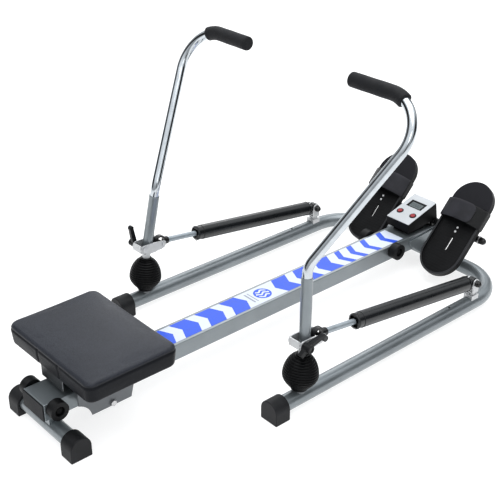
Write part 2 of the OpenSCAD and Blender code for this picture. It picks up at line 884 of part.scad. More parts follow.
// A footrest's own frame: X across, Y from heel to toe, Z out of its face, from the axle
module at_footrest(side) {
    mirrored(side) translate([foot_x, pivot_y + axle_y, axle_z]) rotate([foot_tilt, 0, 0]) children();
}

module footrest(side) {
    sole_z = foot_face - foot_rim_h - foot_floor;
    inner_w = foot_w - 2 * foot_rim_t;
    lug_span = [[-36, -25], [25, 36]];
    color("black") at_footrest(side) difference() {
        union() {
            translate([0, foot_mid, sole_z]) linear_extrude(foot_face - sole_z) stadium(foot_w, foot_len);
            for (s = lug_span) translate([s[0], 0, 0]) yz_plate(s[1] - s[0]) {
                circle(r = 11);
                polygon([[-11, 0], [-16, sole_z + 1], [16, sole_z + 1], [11, 0]]);
            }
        }
        translate([0, 0, foot_face - foot_rim_h]) linear_extrude(foot_rim_h + 1) intersection() {
            translate([0, foot_mid]) stadium(inner_w, foot_len - 2 * foot_rim_t);
            translate([-foot_w, -foot_len]) square([2 * foot_w, foot_len + toe_from]);
        }
        translate([0, -47, sole_z - 1]) linear_extrude(foot_floor + 2) stadium(7, 40);
        for (y = [-12, 0]) translate([0, y, sole_z - 1]) cylinder(h = foot_floor + 2, d = 6);
        x_rod(axle_d + 2 * fit, 100);
    }
}

// The strap over the foot: an arch of webbing with its ends down the footrest's edges
module footrest_strap(side) {
    half = foot_w / 2 + 0.5;
    r = (half * half + strap_rise * strap_rise) / (2 * strap_rise);
    low = foot_face - foot_rim_h - foot_floor;
    color("black") at_footrest(side) translate([0, (strap_from + strap_to) / 2, 0]) {
        intersection() {
            translate([0, 0, foot_face + strap_rise - r]) difference() {
                y_rod(2 * (r + strap_t), strap_to - strap_from, $fn = 128);
                y_rod(2 * r, strap_to - strap_from + 2, $fn = 128);
            }
            translate([-half - strap_t, -foot_w, foot_face - 1])
                cube([2 * (half + strap_t), 2 * foot_w, foot_w]);
        }
        both_sides() translate([half, (strap_from - strap_to) / 2, low])
            cube([strap_t, strap_to - strap_from, foot_face - low + 2]);
    }
}

module bellows_right() bellows(RIGHT);
module joint_cross_right() joint_cross(RIGHT);
module arm_yoke_right() arm_yoke(RIGHT);
module lower_tube_right() lower_tube(RIGHT);
module upper_tube_right() upper_tube(RIGHT);
module grip_right() grip(RIGHT);
module yoke_bolts_right() yoke_bolts(RIGHT);
module clamp_lever_right() clamp_lever(RIGHT, lever_rest_right);
module damper_clevis_right() damper_clevis(RIGHT);
module damper_bolt_right() damper_bolt(RIGHT);
module damper_cylinder_right() damper_cylinder(RIGHT);
module damper_gland_right() damper_gland(RIGHT);
module damper_rod_right() damper_rod(RIGHT);
module rod_eye_right() rod_eye(RIGHT);
module footrest_right() footrest(RIGHT);
module footrest_strap_right() footrest_strap(RIGHT);
module bellows_left() bellows(LEFT);
module joint_cross_left() joint_cross(LEFT);
module arm_yoke_left() arm_yoke(LEFT);
module lower_tube_left() lower_tube(LEFT);
module upper_tube_left() upper_tube(LEFT);
module grip_left() grip(LEFT);
module yoke_bolts_left() yoke_bolts(LEFT);
module clamp_lever_left() clamp_lever(LEFT, lever_rest_left);
module damper_clevis_left() damper_clevis(LEFT);
module damper_bolt_left() damper_bolt(LEFT);
module damper_cylinder_left() damper_cylinder(LEFT);
module damper_gland_left() damper_gland(LEFT);
module damper_rod_left() damper_rod(LEFT);
module rod_eye_left() rod_eye(LEFT);
module footrest_left() footrest(LEFT);
module footrest_strap_left() footrest_strap(LEFT);

base_tube();
rail();
rail_decal();
rear_cross_tube();
frame_brackets();
rail_end_plugs();
foot_caps();
rail_bumpers();
bumper_bolts();
arm_mounts();
damper_mounts();
axle_bracket();
footrest_axle();
axle_hardware();
console_mount();
console_case();
console_face();
console_window();
console_board();
button_left();
button_right();
seat_cushion();
seat_board();
seat_carriage();
carriage_bolts();
roller_rear();
roller_front();
roller_lower();
bellows_right();
joint_cross_right();
arm_yoke_right();
lower_tube_right();
upper_tube_right();
grip_right();
yoke_bolts_right();
clamp_lever_right();
damper_clevis_right();
damper_bolt_right();
damper_cylinder_right();
damper_gland_right();
damper_rod_right();
rod_eye_right();
footrest_right();
footrest_strap_right();
bellows_left();
joint_cross_left();
arm_yoke_left();
lower_tube_left();
upper_tube_left();
grip_left();
yoke_bolts_left();
clamp_lever_left();
damper_clevis_left();
damper_bolt_left();
damper_cylinder_left();
damper_gland_left();
damper_rod_left();
rod_eye_left();
footrest_left();
footrest_strap_left();
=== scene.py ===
"""Rowing machine: soft parts, fittings and finishes over its CAD frame, laid out as an add-on."""
import json
import math

import bmesh
import bpy
import numpy as np
from bpy.props import FloatProperty, FloatVectorProperty, IntProperty, PointerProperty
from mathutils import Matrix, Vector

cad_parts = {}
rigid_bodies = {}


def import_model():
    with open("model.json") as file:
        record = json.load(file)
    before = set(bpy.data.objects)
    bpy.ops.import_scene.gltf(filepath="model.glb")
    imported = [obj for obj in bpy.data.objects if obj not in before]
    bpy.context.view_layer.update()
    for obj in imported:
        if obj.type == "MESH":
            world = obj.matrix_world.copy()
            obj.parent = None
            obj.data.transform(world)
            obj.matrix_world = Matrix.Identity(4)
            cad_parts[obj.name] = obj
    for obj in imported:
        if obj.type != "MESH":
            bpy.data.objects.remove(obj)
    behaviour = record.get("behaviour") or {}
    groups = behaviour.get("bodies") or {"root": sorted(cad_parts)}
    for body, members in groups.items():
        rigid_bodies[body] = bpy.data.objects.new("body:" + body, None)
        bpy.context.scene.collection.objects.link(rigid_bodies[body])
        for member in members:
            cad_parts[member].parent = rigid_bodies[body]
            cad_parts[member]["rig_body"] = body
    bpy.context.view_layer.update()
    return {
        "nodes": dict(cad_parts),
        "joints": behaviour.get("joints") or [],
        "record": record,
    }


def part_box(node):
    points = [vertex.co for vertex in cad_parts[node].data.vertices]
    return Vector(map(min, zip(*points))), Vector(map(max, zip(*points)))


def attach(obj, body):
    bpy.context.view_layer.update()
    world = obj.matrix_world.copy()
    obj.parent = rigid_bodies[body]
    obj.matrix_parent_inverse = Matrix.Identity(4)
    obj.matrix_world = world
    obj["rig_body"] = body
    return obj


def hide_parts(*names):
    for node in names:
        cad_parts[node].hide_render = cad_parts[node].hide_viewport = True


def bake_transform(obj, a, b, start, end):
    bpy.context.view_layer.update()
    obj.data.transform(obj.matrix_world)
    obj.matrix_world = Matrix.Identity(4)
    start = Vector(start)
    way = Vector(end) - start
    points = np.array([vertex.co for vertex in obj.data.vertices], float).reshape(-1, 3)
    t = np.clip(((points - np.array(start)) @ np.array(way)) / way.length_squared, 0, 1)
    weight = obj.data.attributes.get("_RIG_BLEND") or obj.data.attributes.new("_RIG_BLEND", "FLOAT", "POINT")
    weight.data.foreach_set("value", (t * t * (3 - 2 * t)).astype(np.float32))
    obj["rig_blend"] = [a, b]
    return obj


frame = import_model()

bl_info = {
    "name": "Rowing Machine",
    "version": (1, 0, 0),
    "blender": (4, 5, 0),
    "location": "View3D > Sidebar > Rower",
    "description": "Soft parts, fittings and finishes of a rowing machine over its CAD frame",
    "category": "Object",
}

MM = 0.001
SAME_PLACE = 1e-6
SIDES = (("right", 1.0), ("left", -1.0))
NODES = frame["nodes"]
JOINTS = {joint["name"]: joint for joint in frame["joints"]}


def joint_point(name):
    """A joint's place at rest."""
    return np.array(JOINTS[name]["pos_m"], float)


def node_box(node):
    """A node's two corners as arrays."""
    low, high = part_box(node)
    return np.array(low), np.array(high)


PIVOT = joint_point("arm_swing_right")
AXLE = joint_point("footrest_rock_right")
SLOTS = {entry["node"]: entry["material_slot"] for entry in frame["record"]["subparts"]}
FOOT_TILT = math.radians(46.0)

# The right handle's centre line from its pivot: where its straight parts meet, and its two bends.
NECK_LEAN = 0.158
ARM_CORNERS = np.array([[1, 12.5, 75], [-19, 34, 244], [109, 253, 571], [-114, 243, 574]]) * MM
ARM_BENDS = (54 * MM, 84 * MM)
LOWER_TUBE = 148 * MM
TUBE_RADIUS = 11 * MM
TUBE_INSERT = 88 * MM
GRIP_LENGTH = 144 * MM
GRIP_BORE = 11.05 * MM

# The console face's edges: distance before the pivots, and height over the floor.
CONSOLE_NEAR = np.array([622.7, 139.4]) * MM
CONSOLE_FAR = np.array([732.2, 169.8]) * MM
CONSOLE_SLOPE = math.atan2(*(CONSOLE_FAR - CONSOLE_NEAR)[::-1])
CONSOLE_CENTRE = np.array([0, PIVOT[1], 0]) + (0, *(CONSOLE_NEAR + CONSOLE_FAR) / 2)


# ---------------------------------------------------------------- shapes


def unit(v):
    """The same directions with length one, along the last axis."""
    v = np.asarray(v, float)
    return v / np.linalg.norm(v, axis=-1, keepdims=True)


def handed(points, side):
    """The points, or their mirror image in x = 0 for the left side."""
    return points * np.array([side, 1.0, 1.0])


def rounded_route(corners, radii, turn_step=math.radians(3)):
    """Points and directions along straight lines between the corners, with each inner corner
    replaced by the arc of its radius that touches both lines."""
    first = unit(corners[1] - corners[0])
    points, ahead = [corners[:1]], [first[None]]
    for before, corner, after, radius in zip(corners, corners[1:], corners[2:], radii):
        back, on = unit(before - corner), unit(after - corner)
        turn = math.pi - math.acos(float(back @ on))
        centre = corner + unit(back + on) * radius / math.cos(turn / 2)
        across = unit(corner + back * radius * math.tan(turn / 2) - centre)
        t = np.linspace(0, turn, max(2, round(turn / turn_step) + 1))[:, None]
        points.append(centre + radius * (np.cos(t) * across - np.sin(t) * back))
        ahead.append(-np.sin(t) * across - np.cos(t) * back)
    last = unit(corners[-1] - corners[-2])
    return np.vstack([*points, corners[-1:]]), np.vstack([*ahead, last[None]])


def straight_route(start, end):
    """A route along one straight line."""
    start, end = np.asarray(start, float), np.asarray(end, float)
    direction = unit(end - start)
    return np.stack([start, end]), np.stack([direction, direction])


def length_of(route):
    """Distance from a route's start to each of its points."""
    return np.concatenate([[0], np.cumsum(np.linalg.norm(np.diff(route[0], axis=0), axis=1))])


def carried(route, along, radius, sides=48, up=(0, 0.894, -0.447), lumps=None):
    """Rings square to a route: ring i is a circle of radius[i] at distance along[i] from the
    route's start. lumps, if given, is a factor on the radius for each ring and side."""
    points, ahead = route
    reach = length_of(route)
    along, radius = np.broadcast_arrays(np.asarray(along, float), radius)
    place = np.stack([np.interp(along, reach, points[:, k]) for k in range(3)], axis=1)
    forward = unit(np.stack([np.interp(along, reach, ahead[:, k]) for k in range(3)], axis=1))
    beyond = np.clip(along - reach[-1], 0, None) + np.clip(along, None, 0)
    place = place + forward * beyond[:, None]
    across = unit(np.cross(forward, up))
    over = np.cross(across, forward)
    turn = np.linspace(0, 2 * math.pi, sides, endpoint=False)[:, None]
    ring = np.cos(turn) * across[:, None] + np.sin(turn) * over[:, None]
    size = radius[:, None] if lumps is None else radius[:, None] * lumps
    return place[:, None] + size[..., None] * ring


def turned(start, end, along, radius, sides=48):
    """A lathe shape: carried() on the straight line from start to end."""
    direction = unit(np.asarray(end, float) - np.asarray(start, float))
    up = (0, 0, 1) if abs(direction[2]) < 0.8 else (1, 0, 0)
    return carried(straight_route(start, end), along, np.asarray(radius, float), sides, up)


def eased_ends(length, radius, ease, steps=5, first=True, last=True):
    """Profile of a rod with its end edges rounded by quarter circles of radius ease."""
    t = np.linspace(0, math.pi / 2, steps)
    rise_at, rise = ease * (1 - np.cos(t)), radius - ease * (1 - np.sin(t))
    head = (rise_at, rise) if first else (np.array([0.0]), np.array([radius]))
    tail = (length - rise_at[::-1], rise[::-1]) if last else (np.array([length]), np.array([radius]))
    return np.concatenate([head[0], tail[0]]), np.concatenate([head[1], tail[1]])


class Skin:
    """Collects gridded surfaces and makes one mesh object of them."""

    def __init__(self):
        self.points, self.faces, self.places, self.count = [], [], [], 0

    def add(self, grid, wrap=True, caps=(True, True), lay=None):
        """Quads between neighbouring grid points, joined round where wrap is true, with a flat
        face on the first and last row where caps says so. lay holds each point's place on the
        unrolled surface, in metres, with one more column than a wrapped grid."""
        rows, columns = grid.shape[:2]
        ids = np.arange(rows * columns).reshape(rows, columns) + self.count
        near = ids if wrap else ids[:, :-1]
        far = np.roll(ids, -1, axis=1) if wrap else ids[:, 1:]
        quads = np.stack([near[:-1], far[:-1], far[1:], near[1:]], axis=-1)
        self.faces += quads.reshape(-1, 4).tolist()
        if lay is None:
            flat = np.zeros((quads.shape[0] * quads.shape[1] * 4, 2))
        else:
            flat = np.stack([lay[:-1, :-1], lay[:-1, 1:], lay[1:, 1:], lay[1:, :-1]], axis=2)
        self.places.append(flat.reshape(-1, 2))
        for cap, row in zip(caps, (ids[0, ::-1], ids[-1])):
            if cap:
                self.faces.append(row.tolist())
                self.places.append(np.zeros((len(row), 2)))
        self.points.append(grid.reshape(-1, 3))
        self.count += rows * columns
        return self

    def make(self, name, finish, sharp=40):
        """The mesh object, smooth but for edges sharper than the angle in degrees."""
        mesh = bpy.data.meshes.new(name)
        mesh.from_pydata(np.vstack(self.points).tolist(), [], self.faces)
        lay = mesh.uv_layers.new(name="Lay")
        lay.data.foreach_set("uv", np.vstack(self.places).astype(np.float32).ravel())
        piece = bpy.data.objects.new(name, mesh)
        bpy.context.scene.collection.objects.link(piece)
        outward(mesh)
        smooth(mesh, sharp)
        mesh.materials.append(finish)
        return piece


def outward(mesh, join=None, flat=None):
    """Turns a closed mesh's faces outwards, after joining points closer than join metres and
    dissolving edges flatter than flat degrees, where these are given."""
    work = bmesh.new()
    work.from_mesh(mesh)
    if join:
        bmesh.ops.remove_doubles(work, verts=work.verts, dist=join)
    if flat:
        bmesh.ops.dissolve_limit(
            work, angle_limit=math.radians(flat), verts=work.verts, edges=work.edges,
            use_dissolve_boundaries=False,
        )
    bmesh.ops.recalc_face_normals(work, faces=work.faces)
    work.to_mesh(mesh)
    work.free()


def vectors(items, key):
    """A vector that every vertex or face has, as rows."""
    values = np.empty(len(items) * 3)
    items.foreach_get(key, values)
    return values.reshape(-1, 3)


def smooth(mesh, sharp):
    """Smooth shading, with hard edges where faces meet at more than sharp degrees."""
    mesh.polygons.foreach_set("use_smooth", np.ones(len(mesh.polygons), bool))
    mesh.set_sharp_from_angle(angle=math.radians(sharp))
    mesh.update()


def placed(piece, body, slot, *stands_for):
    """Rides a piece on its body and hides what it stands for; the slot argument is not used."""
    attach(piece, body)
    if stands_for:
        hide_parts(*stands_for)
    return piece


def eased(node, finish, slot, width, segments, sharp=35):
    """A copy of a CAD node, merged, with flat areas dissolved and its edges rounded."""
    mesh = NODES[node].data.copy()
    for attribute in [a for a in mesh.attributes if a.name == "custom_normal"]:
        mesh.attributes.remove(attribute)
    outward(mesh, join=2e-6, flat=1.0)
    mesh.materials.clear()
    mesh.materials.append(finish)
    piece = bpy.data.objects.new(node + "_eased", mesh)
    bpy.context.scene.collection.objects.link(piece)
    smooth(mesh, sharp)
    rounding = piece.modifiers.new("Rounding", "BEVEL")
    rounding.limit_method = "ANGLE"
    rounding.angle_limit = math.radians(sharp)
    rounding.width = width
    rounding.segments = segments
    rounding.use_clamp_overlap = False
    rounding.harden_normals = True
    rounding.miter_outer = "MITER_ARC"
    return placed(piece, NODES[node]["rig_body"], slot, node)


# ---------------------------------------------------------------- finishes


class Wire:
    """A shader socket that arithmetic can be written with."""

    def __init__(self, finish, socket):
        self.finish, self.socket = finish, socket

    def math(self, operation, *values):
        """A Math node on these values."""
        return self.finish.node("ShaderNodeMath", {"operation": operation}, dict(enumerate(values)))

    def __add__(self, other):
        return self.math("ADD", self, other)

    def __sub__(self, other):
        return self.math("SUBTRACT", self, other)

    def __rsub__(self, other):
        return self.math("SUBTRACT", other, self)

    def __mul__(self, other):
        return self.math("MULTIPLY", self, other)

    def __truediv__(self, other):
        return self.math("DIVIDE", self, other)

    def __rtruediv__(self, other):
        return self.math("DIVIDE", other, self)

    def __pow__(self, other):
        return self.math("POWER", self, other)

    def __lt__(self, other):
        return self.math("LESS_THAN", self, other)

    def __gt__(self, other):
        return self.math("GREATER_THAN", self, other)

    def __abs__(self):
        return self.math("ABSOLUTE", self)

    def part(self):
        """The fraction left over whole numbers."""
        return self.math("FRACT", self)

    def wave(self):
        """The sine."""
        return self.math("SINE", self)

    def low(self, other):
        """The smaller of the two."""
        return self.math("MINIMUM", self, other)

    def high(self, other):
        """The larger of the two."""
        return self.math("MAXIMUM", self, other)

    def spread(self, from_low, from_high, to_low=0.0, to_high=1.0):
        """The value eased from one range to another and held at its ends."""
        values = {"Value": self, "From Min": from_low, "From Max": from_high}
        values |= {"To Min": to_low, "To Max": to_high}
        return self.finish.node("ShaderNodeMapRange", {"interpolation_type": "SMOOTHSTEP"}, values)

    __radd__ = __add__
    __rmul__ = __mul__


class Nodes:
    """A tree of shader nodes, emptied, with the coordinates its patterns are laid in."""

    def __init__(self, tree, coordinates="Object"):
        self.tree = tree
        self.tree.nodes.clear()
        self.place = self.node("ShaderNodeTexCoord", out=coordinates)

    def node(self, kind, settings=None, values=None, out=0):
        """A node of this kind with its settings, its sockets' values or links, and the output
        that is wanted, by name or number."""
        made = self.tree.nodes.new(kind)
        for key, value in (settings or {}).items():
            setattr(made, key, value)
        for key, value in (values or {}).items():
            self.feed(self.find(made.inputs, key), value)
        return Wire(self, self.find(made.outputs, out))

    def find(self, sockets, key):
        """A socket by its number, identifier or name."""
        if isinstance(key, int):
            return sockets[key]
        exact = [s for s in sockets if s.identifier == key] or [s for s in sockets if s.name == key]
        return exact[0]

    def feed(self, socket, value):
        """Links a wire, or sets a plain value."""
        if isinstance(value, Wire):
            self.tree.links.new(value.socket, socket)
        elif hasattr(value, "__len__") and socket.type == "RGBA" and len(value) == 3:
            socket.default_value = (*value, 1.0)
        else:
            socket.default_value = value

    def axes(self, place=None):
        """The three coordinates of a place."""
        split = self.node("ShaderNodeSeparateXYZ", values={0: place or self.place})
        node = split.socket.node
        return [Wire(self, socket) for socket in node.outputs]

    def turned_place(self, centre, turn):
        """Object coordinates seen from a centre, turned by angles about X, Y and Z."""
        values = {"Location": tuple(centre), "Rotation": tuple(turn), "Scale": (1, 1, 1)}
        return self.node("ShaderNodeMapping", {"vector_type": "TEXTURE"}, values | {"Vector": self.place})

    def noise(self, size, detail=2.0, rough=0.5, stretch=None):
        """Soft noise whose features are about size metres across."""
        place = self.place
        if stretch:
            place = self.node("ShaderNodeMapping", {}, {"Vector": place, "Scale": stretch})
        values = {"Vector": place, "Scale": 1 / size, "Detail": detail, "Roughness": rough}
        return self.node("ShaderNodeTexNoise", {}, values, "Fac")

    def cells(self, size, feature="F1"):
        """Distance inside irregular cells about size metres across."""
        values = {"Vector": self.place, "Scale": 1 / size, "Randomness": 1.0}
        return self.node("ShaderNodeTexVoronoi", {"feature": feature}, values, "Distance")

    def blend(self, mask, a, b):
        """Colour a where mask is 0 and b where it is 1."""
        values = {"Factor_Float": mask, "A_Color": a, "B_Color": b}
        return self.node("ShaderNodeMix", {"data_type": "RGBA"}, values, "Result_Color")


FINISHES = {}


class Finish(Nodes):
    """A material of one Principled shader and the patterns that feed it, kept in FINISHES."""

    def __init__(self, name):
        self.material = FINISHES[name] = bpy.data.materials.new(name)
        self.material.use_nodes = True
        super().__init__(self.material.node_tree)
        self.shader = self.tree.nodes.new("ShaderNodeBsdfPrincipled")
        output = self.tree.nodes.new("ShaderNodeOutputMaterial")
        self.tree.links.new(self.shader.outputs[0], output.inputs[0])

    def set(self, **values):
        """Feeds the shader's own sockets; spaces in their names are written as underscores."""
        for key, value in values.items():
            self.feed(self.find(self.shader.inputs, key.replace("_", " ")), value)
        return self

    def relief(self, height, depth, strength=1.0):
        """Feeds the shader's normal from a height between 0 and 1, depth metres deep."""
        values = {"Height": height, "Distance": depth, "Strength": strength}
        return self.set(Normal=self.node("ShaderNodeBump", {}, values))


def shade(colour, factor):
    """A colour made lighter or darker."""
    return tuple(min(1.0, c * factor) for c in colour[:3])


def paint(name, colour, metallic, rough, coat=0.0, peel=0.00002, dirt=0.12, fleck=0.05):
    """Sprayed paint: slow changes of tone, metal fleck, orange peel and worn gloss."""
    f = Finish(name)
    slow = f.noise(0.16, 3.0)
    fine = f.noise(0.0006, 1.0)
    tone = f.blend(slow.spread(0.3, 0.7), shade(colour, 1 - dirt), shade(colour, 1 + dirt * 0.6))
    tone = f.blend(fine.spread(0.55, 0.75) * fleck, tone, shade(colour, 1.6))
    smear = f.noise(0.03, 4.0, 0.6)
    f.set(Base_Color=tone, Metallic=metallic, Roughness=smear.spread(0.3, 0.75, rough * 0.85, rough * 1.2))
    f.set(Coat_Weight=coat, Coat_Roughness=0.12)
    f.relief(f.noise(0.0025, 2.0) * 0.8 + f.noise(0.0007, 1.0) * 0.2, peel)


def bare_metal(name, colour, rough, grain=(1, 1, 1), depth=0.000008, metal=1.0):
    """Plated or bare metal: fine drawn lines, and patches where it is duller."""
    f = Finish(name)
    lines = f.noise(0.0012, 3.0, 0.6, stretch=grain)
    patch = f.noise(0.02, 3.0)
    f.set(Base_Color=f.blend(patch.spread(0.35, 0.7), shade(colour, 0.9), colour), Metallic=metal)
    f.set(Roughness=lines * 0.12 + patch.spread(0.3, 0.7, rough * 0.8, rough * 1.15) - 0.05)
    f.relief(lines, depth)


def moulded(name, colour, rough, grain=0.0006, depth=0.00004, coat=0.0, tint=0.25, gloss=0.3):
    """Moulded plastic or rubber: a fine spark-eroded grain and faint flow marks."""
    f = Finish(name)
    flow = f.noise(0.05, 3.0)
    grains = f.cells(grain, "SMOOTH_F1")
    f.set(Base_Color=f.blend(flow.spread(0.3, 0.7), shade(colour, 1 - tint), shade(colour, 1 + tint)))
    f.set(Roughness=flow.spread(0.25, 0.75, rough * 0.9, rough * 1.12), Coat_Weight=coat, Coat_Roughness=0.2)
    f.set(Specular_IOR_Level=gloss)
    f.relief(grains * 0.7 + f.noise(grain * 3, 2.0) * 0.3, depth)


def foam_finish(name, colour):
    """Closed-cell foam: small shallow pits with a soft dull skin."""
    f = Finish(name)
    pits = f.cells(0.0011, "F1").spread(0.05, 0.6)
    rub = f.noise(0.02, 3.0)
    f.set(Base_Color=f.blend(rub.spread(0.3, 0.75), shade(colour, 0.75), shade(colour, 1.5)))
    f.set(Roughness=rub.spread(0.3, 0.7, 0.66, 0.82), Sheen_Weight=0.12, Sheen_Roughness=0.4)
    f.relief(pits * 0.7 + f.noise(0.0035, 2.0) * 0.3, 0.00018)


def vinyl_finish(name, colour):
    """Grained vinyl: pebbles from two sizes of cell, with painted shade darkening their creases; the boxing
    round the cushion's sides is painted blacker than its top as painted shade."""
    f = Finish(name)
    top_z = float(node_box("seat_cushion")[1][2])
    height = f.axes()[2].spread(top_z - 0.014, top_z - 0.005)
    pebble = f.cells(0.0013, "DISTANCE_TO_EDGE").spread(0.0, 0.22)
    small = f.cells(0.0007, "DISTANCE_TO_EDGE").spread(0.0, 0.3)
    slow = f.noise(0.09, 3.0)
    grain = pebble * 0.7 + small * 0.3
    top = f.blend(slow.spread(0.3, 0.7), shade(colour, 0.92), shade(colour, 1.08))
    # Painted shade: the cushion's sides, below its top, are painted at 0.13 of the vinyl's colour.
    top = f.blend(height, shade(colour, 0.13), top)
    # Painted shade in the grain: the pebbles' creases are painted darker.
    f.set(Base_Color=f.blend(grain, shade(colour, 0.3), top), Specular_IOR_Level=0.15)
    f.set(Roughness=slow.spread(0.3, 0.7, 0.33, 0.39) + (1 - grain) * 0.10)
    f.set(Coat_Weight=height * 0.25, Coat_Roughness=0.28)
    f.relief(grain * 0.8 + f.noise(0.006, 2.0) * 0.2, 0.00006)


def webbing_finish(name, colour):
    """Woven band: ribs across its width crossed by finer yarns, on the unrolled surface."""
    f = Finish(name)
    across, along, _ = f.axes(f.node("ShaderNodeUVMap", {"uv_map": "Lay"}))
    rib = (along * (2 * math.pi / 0.0022)).wave()
    yarn = (across * (2 * math.pi / 0.0013)).wave()
    weave = rib * yarn * 0.25 + 0.5 + rib * 0.25
    fuzz = f.noise(0.0005, 2.0)
    f.set(Base_Color=f.blend(weave, shade(colour, 0.5), shade(colour, 1.5)))
    f.set(Roughness=fuzz.spread(0.3, 0.7, 0.8, 0.95), Sheen_Weight=0.3, Sheen_Roughness=0.5)
    f.relief(weave * 0.85 + fuzz * 0.15, 0.0003)


def decal_finish(name, white, blue):
    """Printed film: blue arrow blocks towards the footrests up to a round mark, then blocks and
    bars pointing back at the seat, each an interval of the distance along the rail shifted by
    the distance from its middle line."""
    f = Finish(name)
    x, y, _ = f.axes(f.turned_place((0, PIVOT[1], 0), (0, 0, 0)))
    off = abs(x)
    rear = y + off * 0.46
    front = y - off * 0.45
    pitch, blue_share = 0.073, 0.63
    blocks = ((rear - 0.049 + pitch * 12) / pitch).part() < blue_share
    blue_mask = blocks * (rear < 0.096)
    for start, end in ((186, 232), (258, 306), (331, 377), (404, 422), (448, 466), (499, 517), (560, 578)):
        blue_mask = blue_mask + (front > start * MM) * (front < end * MM)
    mark_x, mark_y = x + 0.001, y - 0.1455
    reach = (mark_x * mark_x + mark_y * mark_y) ** 0.5
    ripple = (mark_y * (2 * math.pi / 0.021)).wave() * 0.0030
    waves = (((mark_x + ripple) / 0.0115 + 10.25).part() < 0.5) * (reach < 0.0180)
    blue_mask = (blue_mask + (reach < 0.0225) * (1 - waves)).low(1.0)
    bars = ((abs(y - 0.1065) < 0.0023) + (abs(y - 0.1155) < 0.0015)) * (abs(x + 0.002) < 0.021)
    wear = f.noise(0.012, 4.0, 0.65)
    ink = f.blend(blue_mask, white, f.blend(wear.spread(0.3, 0.7), shade(blue, 0.94), shade(blue, 1.06)))
    ink = f.blend(bars, ink, (0.30, 0.32, 0.38))
    f.set(Base_Color=ink, Roughness=wear.spread(0.3, 0.8, 0.30, 0.42), Coat_Weight=0.12, Coat_Roughness=0.1)
    f.set(Specular_IOR_Level=0.25)
    f.relief(f.noise(0.004, 2.0), 0.00002)


def sum_of(masks):
    """Masks added together."""
    first, *others = masks
    return sum(others, first)


def zero_mask(x, y, wide, tall, thick):
    """The six bars of a zero centred at the origin of x and y, clockwise from the top."""
    flat, upright = (wide - thick, thick), (thick, tall / 2 - thick)
    bars = (
        (0, tall, *flat), (wide, tall / 2, *upright), (wide, -tall / 2, *upright),
        (0, -tall, *flat), (-wide, -tall / 2, *upright), (-wide, tall / 2, *upright),
    )
    return sum_of((abs(x - cx) < half_x) * (abs(y - cy) < half_y) for cx, cy, half_x, half_y in bars)


def display_finish(name):
    """A dark window with a grey liquid crystal panel and four noughts, a colon between them."""
    f = Finish(name)
    x, y, _ = f.axes(f.turned_place(CONSOLE_CENTRE, (CONSOLE_SLOPE, 0, 0)))
    y = y - 0.020
    panel = (abs(x - 0.0010) < 0.0185) * (abs(y + 0.0020) < 0.0095)
    digits = sum_of(zero_mask(x - at * MM, y + 0.0020, 0.0021, 0.0048, 0.0004) for at in (-12, -5, 3, 10))
    dots = (abs(x + 0.0010) < 0.0005) * (abs(abs(y + 0.0020) - 0.0022) < 0.0005)
    digits = (digits + dots).low(1.0) * panel
    murk = f.noise(0.006, 2.0)
    grey = f.blend(murk, (0.115, 0.135, 0.14), (0.15, 0.17, 0.175))
    ink = f.blend(digits * 0.85, f.blend(panel, (0.008, 0.009, 0.010), grey), (0.02, 0.025, 0.03))
    f.set(Base_Color=ink, Roughness=murk.spread(0.3, 0.7, 0.12, 0.2), Specular_IOR_Level=0.15)
    f.relief(f.noise(0.01, 1.0), 0.000006)


def tread_finish(name, colour):
    """Moulded sole: fine grain under shallow ribs across the foot, with a painted highlight on the heel rim's
    top.
    """
    f = Finish(name)
    place = f.turned_place(tuple(AXLE * (0, 1, 1)), (FOOT_TILT, 0, 0))
    _, along, out = f.axes(place)
    ribs = (along * (2 * math.pi / 0.0075)).wave().spread(0.6, 0.95)
    face = (abs(out - 0.034) < 0.0012) * (along < 0.066)
    flow = f.noise(0.04, 3.0)
    toe = (along > 0.064) * (out > 0.036)
    rim = (out > 0.0395) * (along < 0.066)
    tone = f.blend(flow.spread(0.3, 0.7), shade(colour, 0.75), shade(colour, 1.3))
    tone = f.blend(toe, tone, (0.017, 0.017, 0.021))
    # Painted highlight: the heel rim's top is painted lighter; it is also made less rough.
    f.set(Base_Color=f.blend(rim, tone, (0.040, 0.041, 0.044)), Specular_IOR_Level=0.22)
    f.set(Roughness=flow.spread(0.3, 0.7, 0.42, 0.56) - rim * 0.12)
    f.relief(ribs * face * 0.35 + f.cells(0.0007, "SMOOTH_F1") * 0.12, 0.0005)


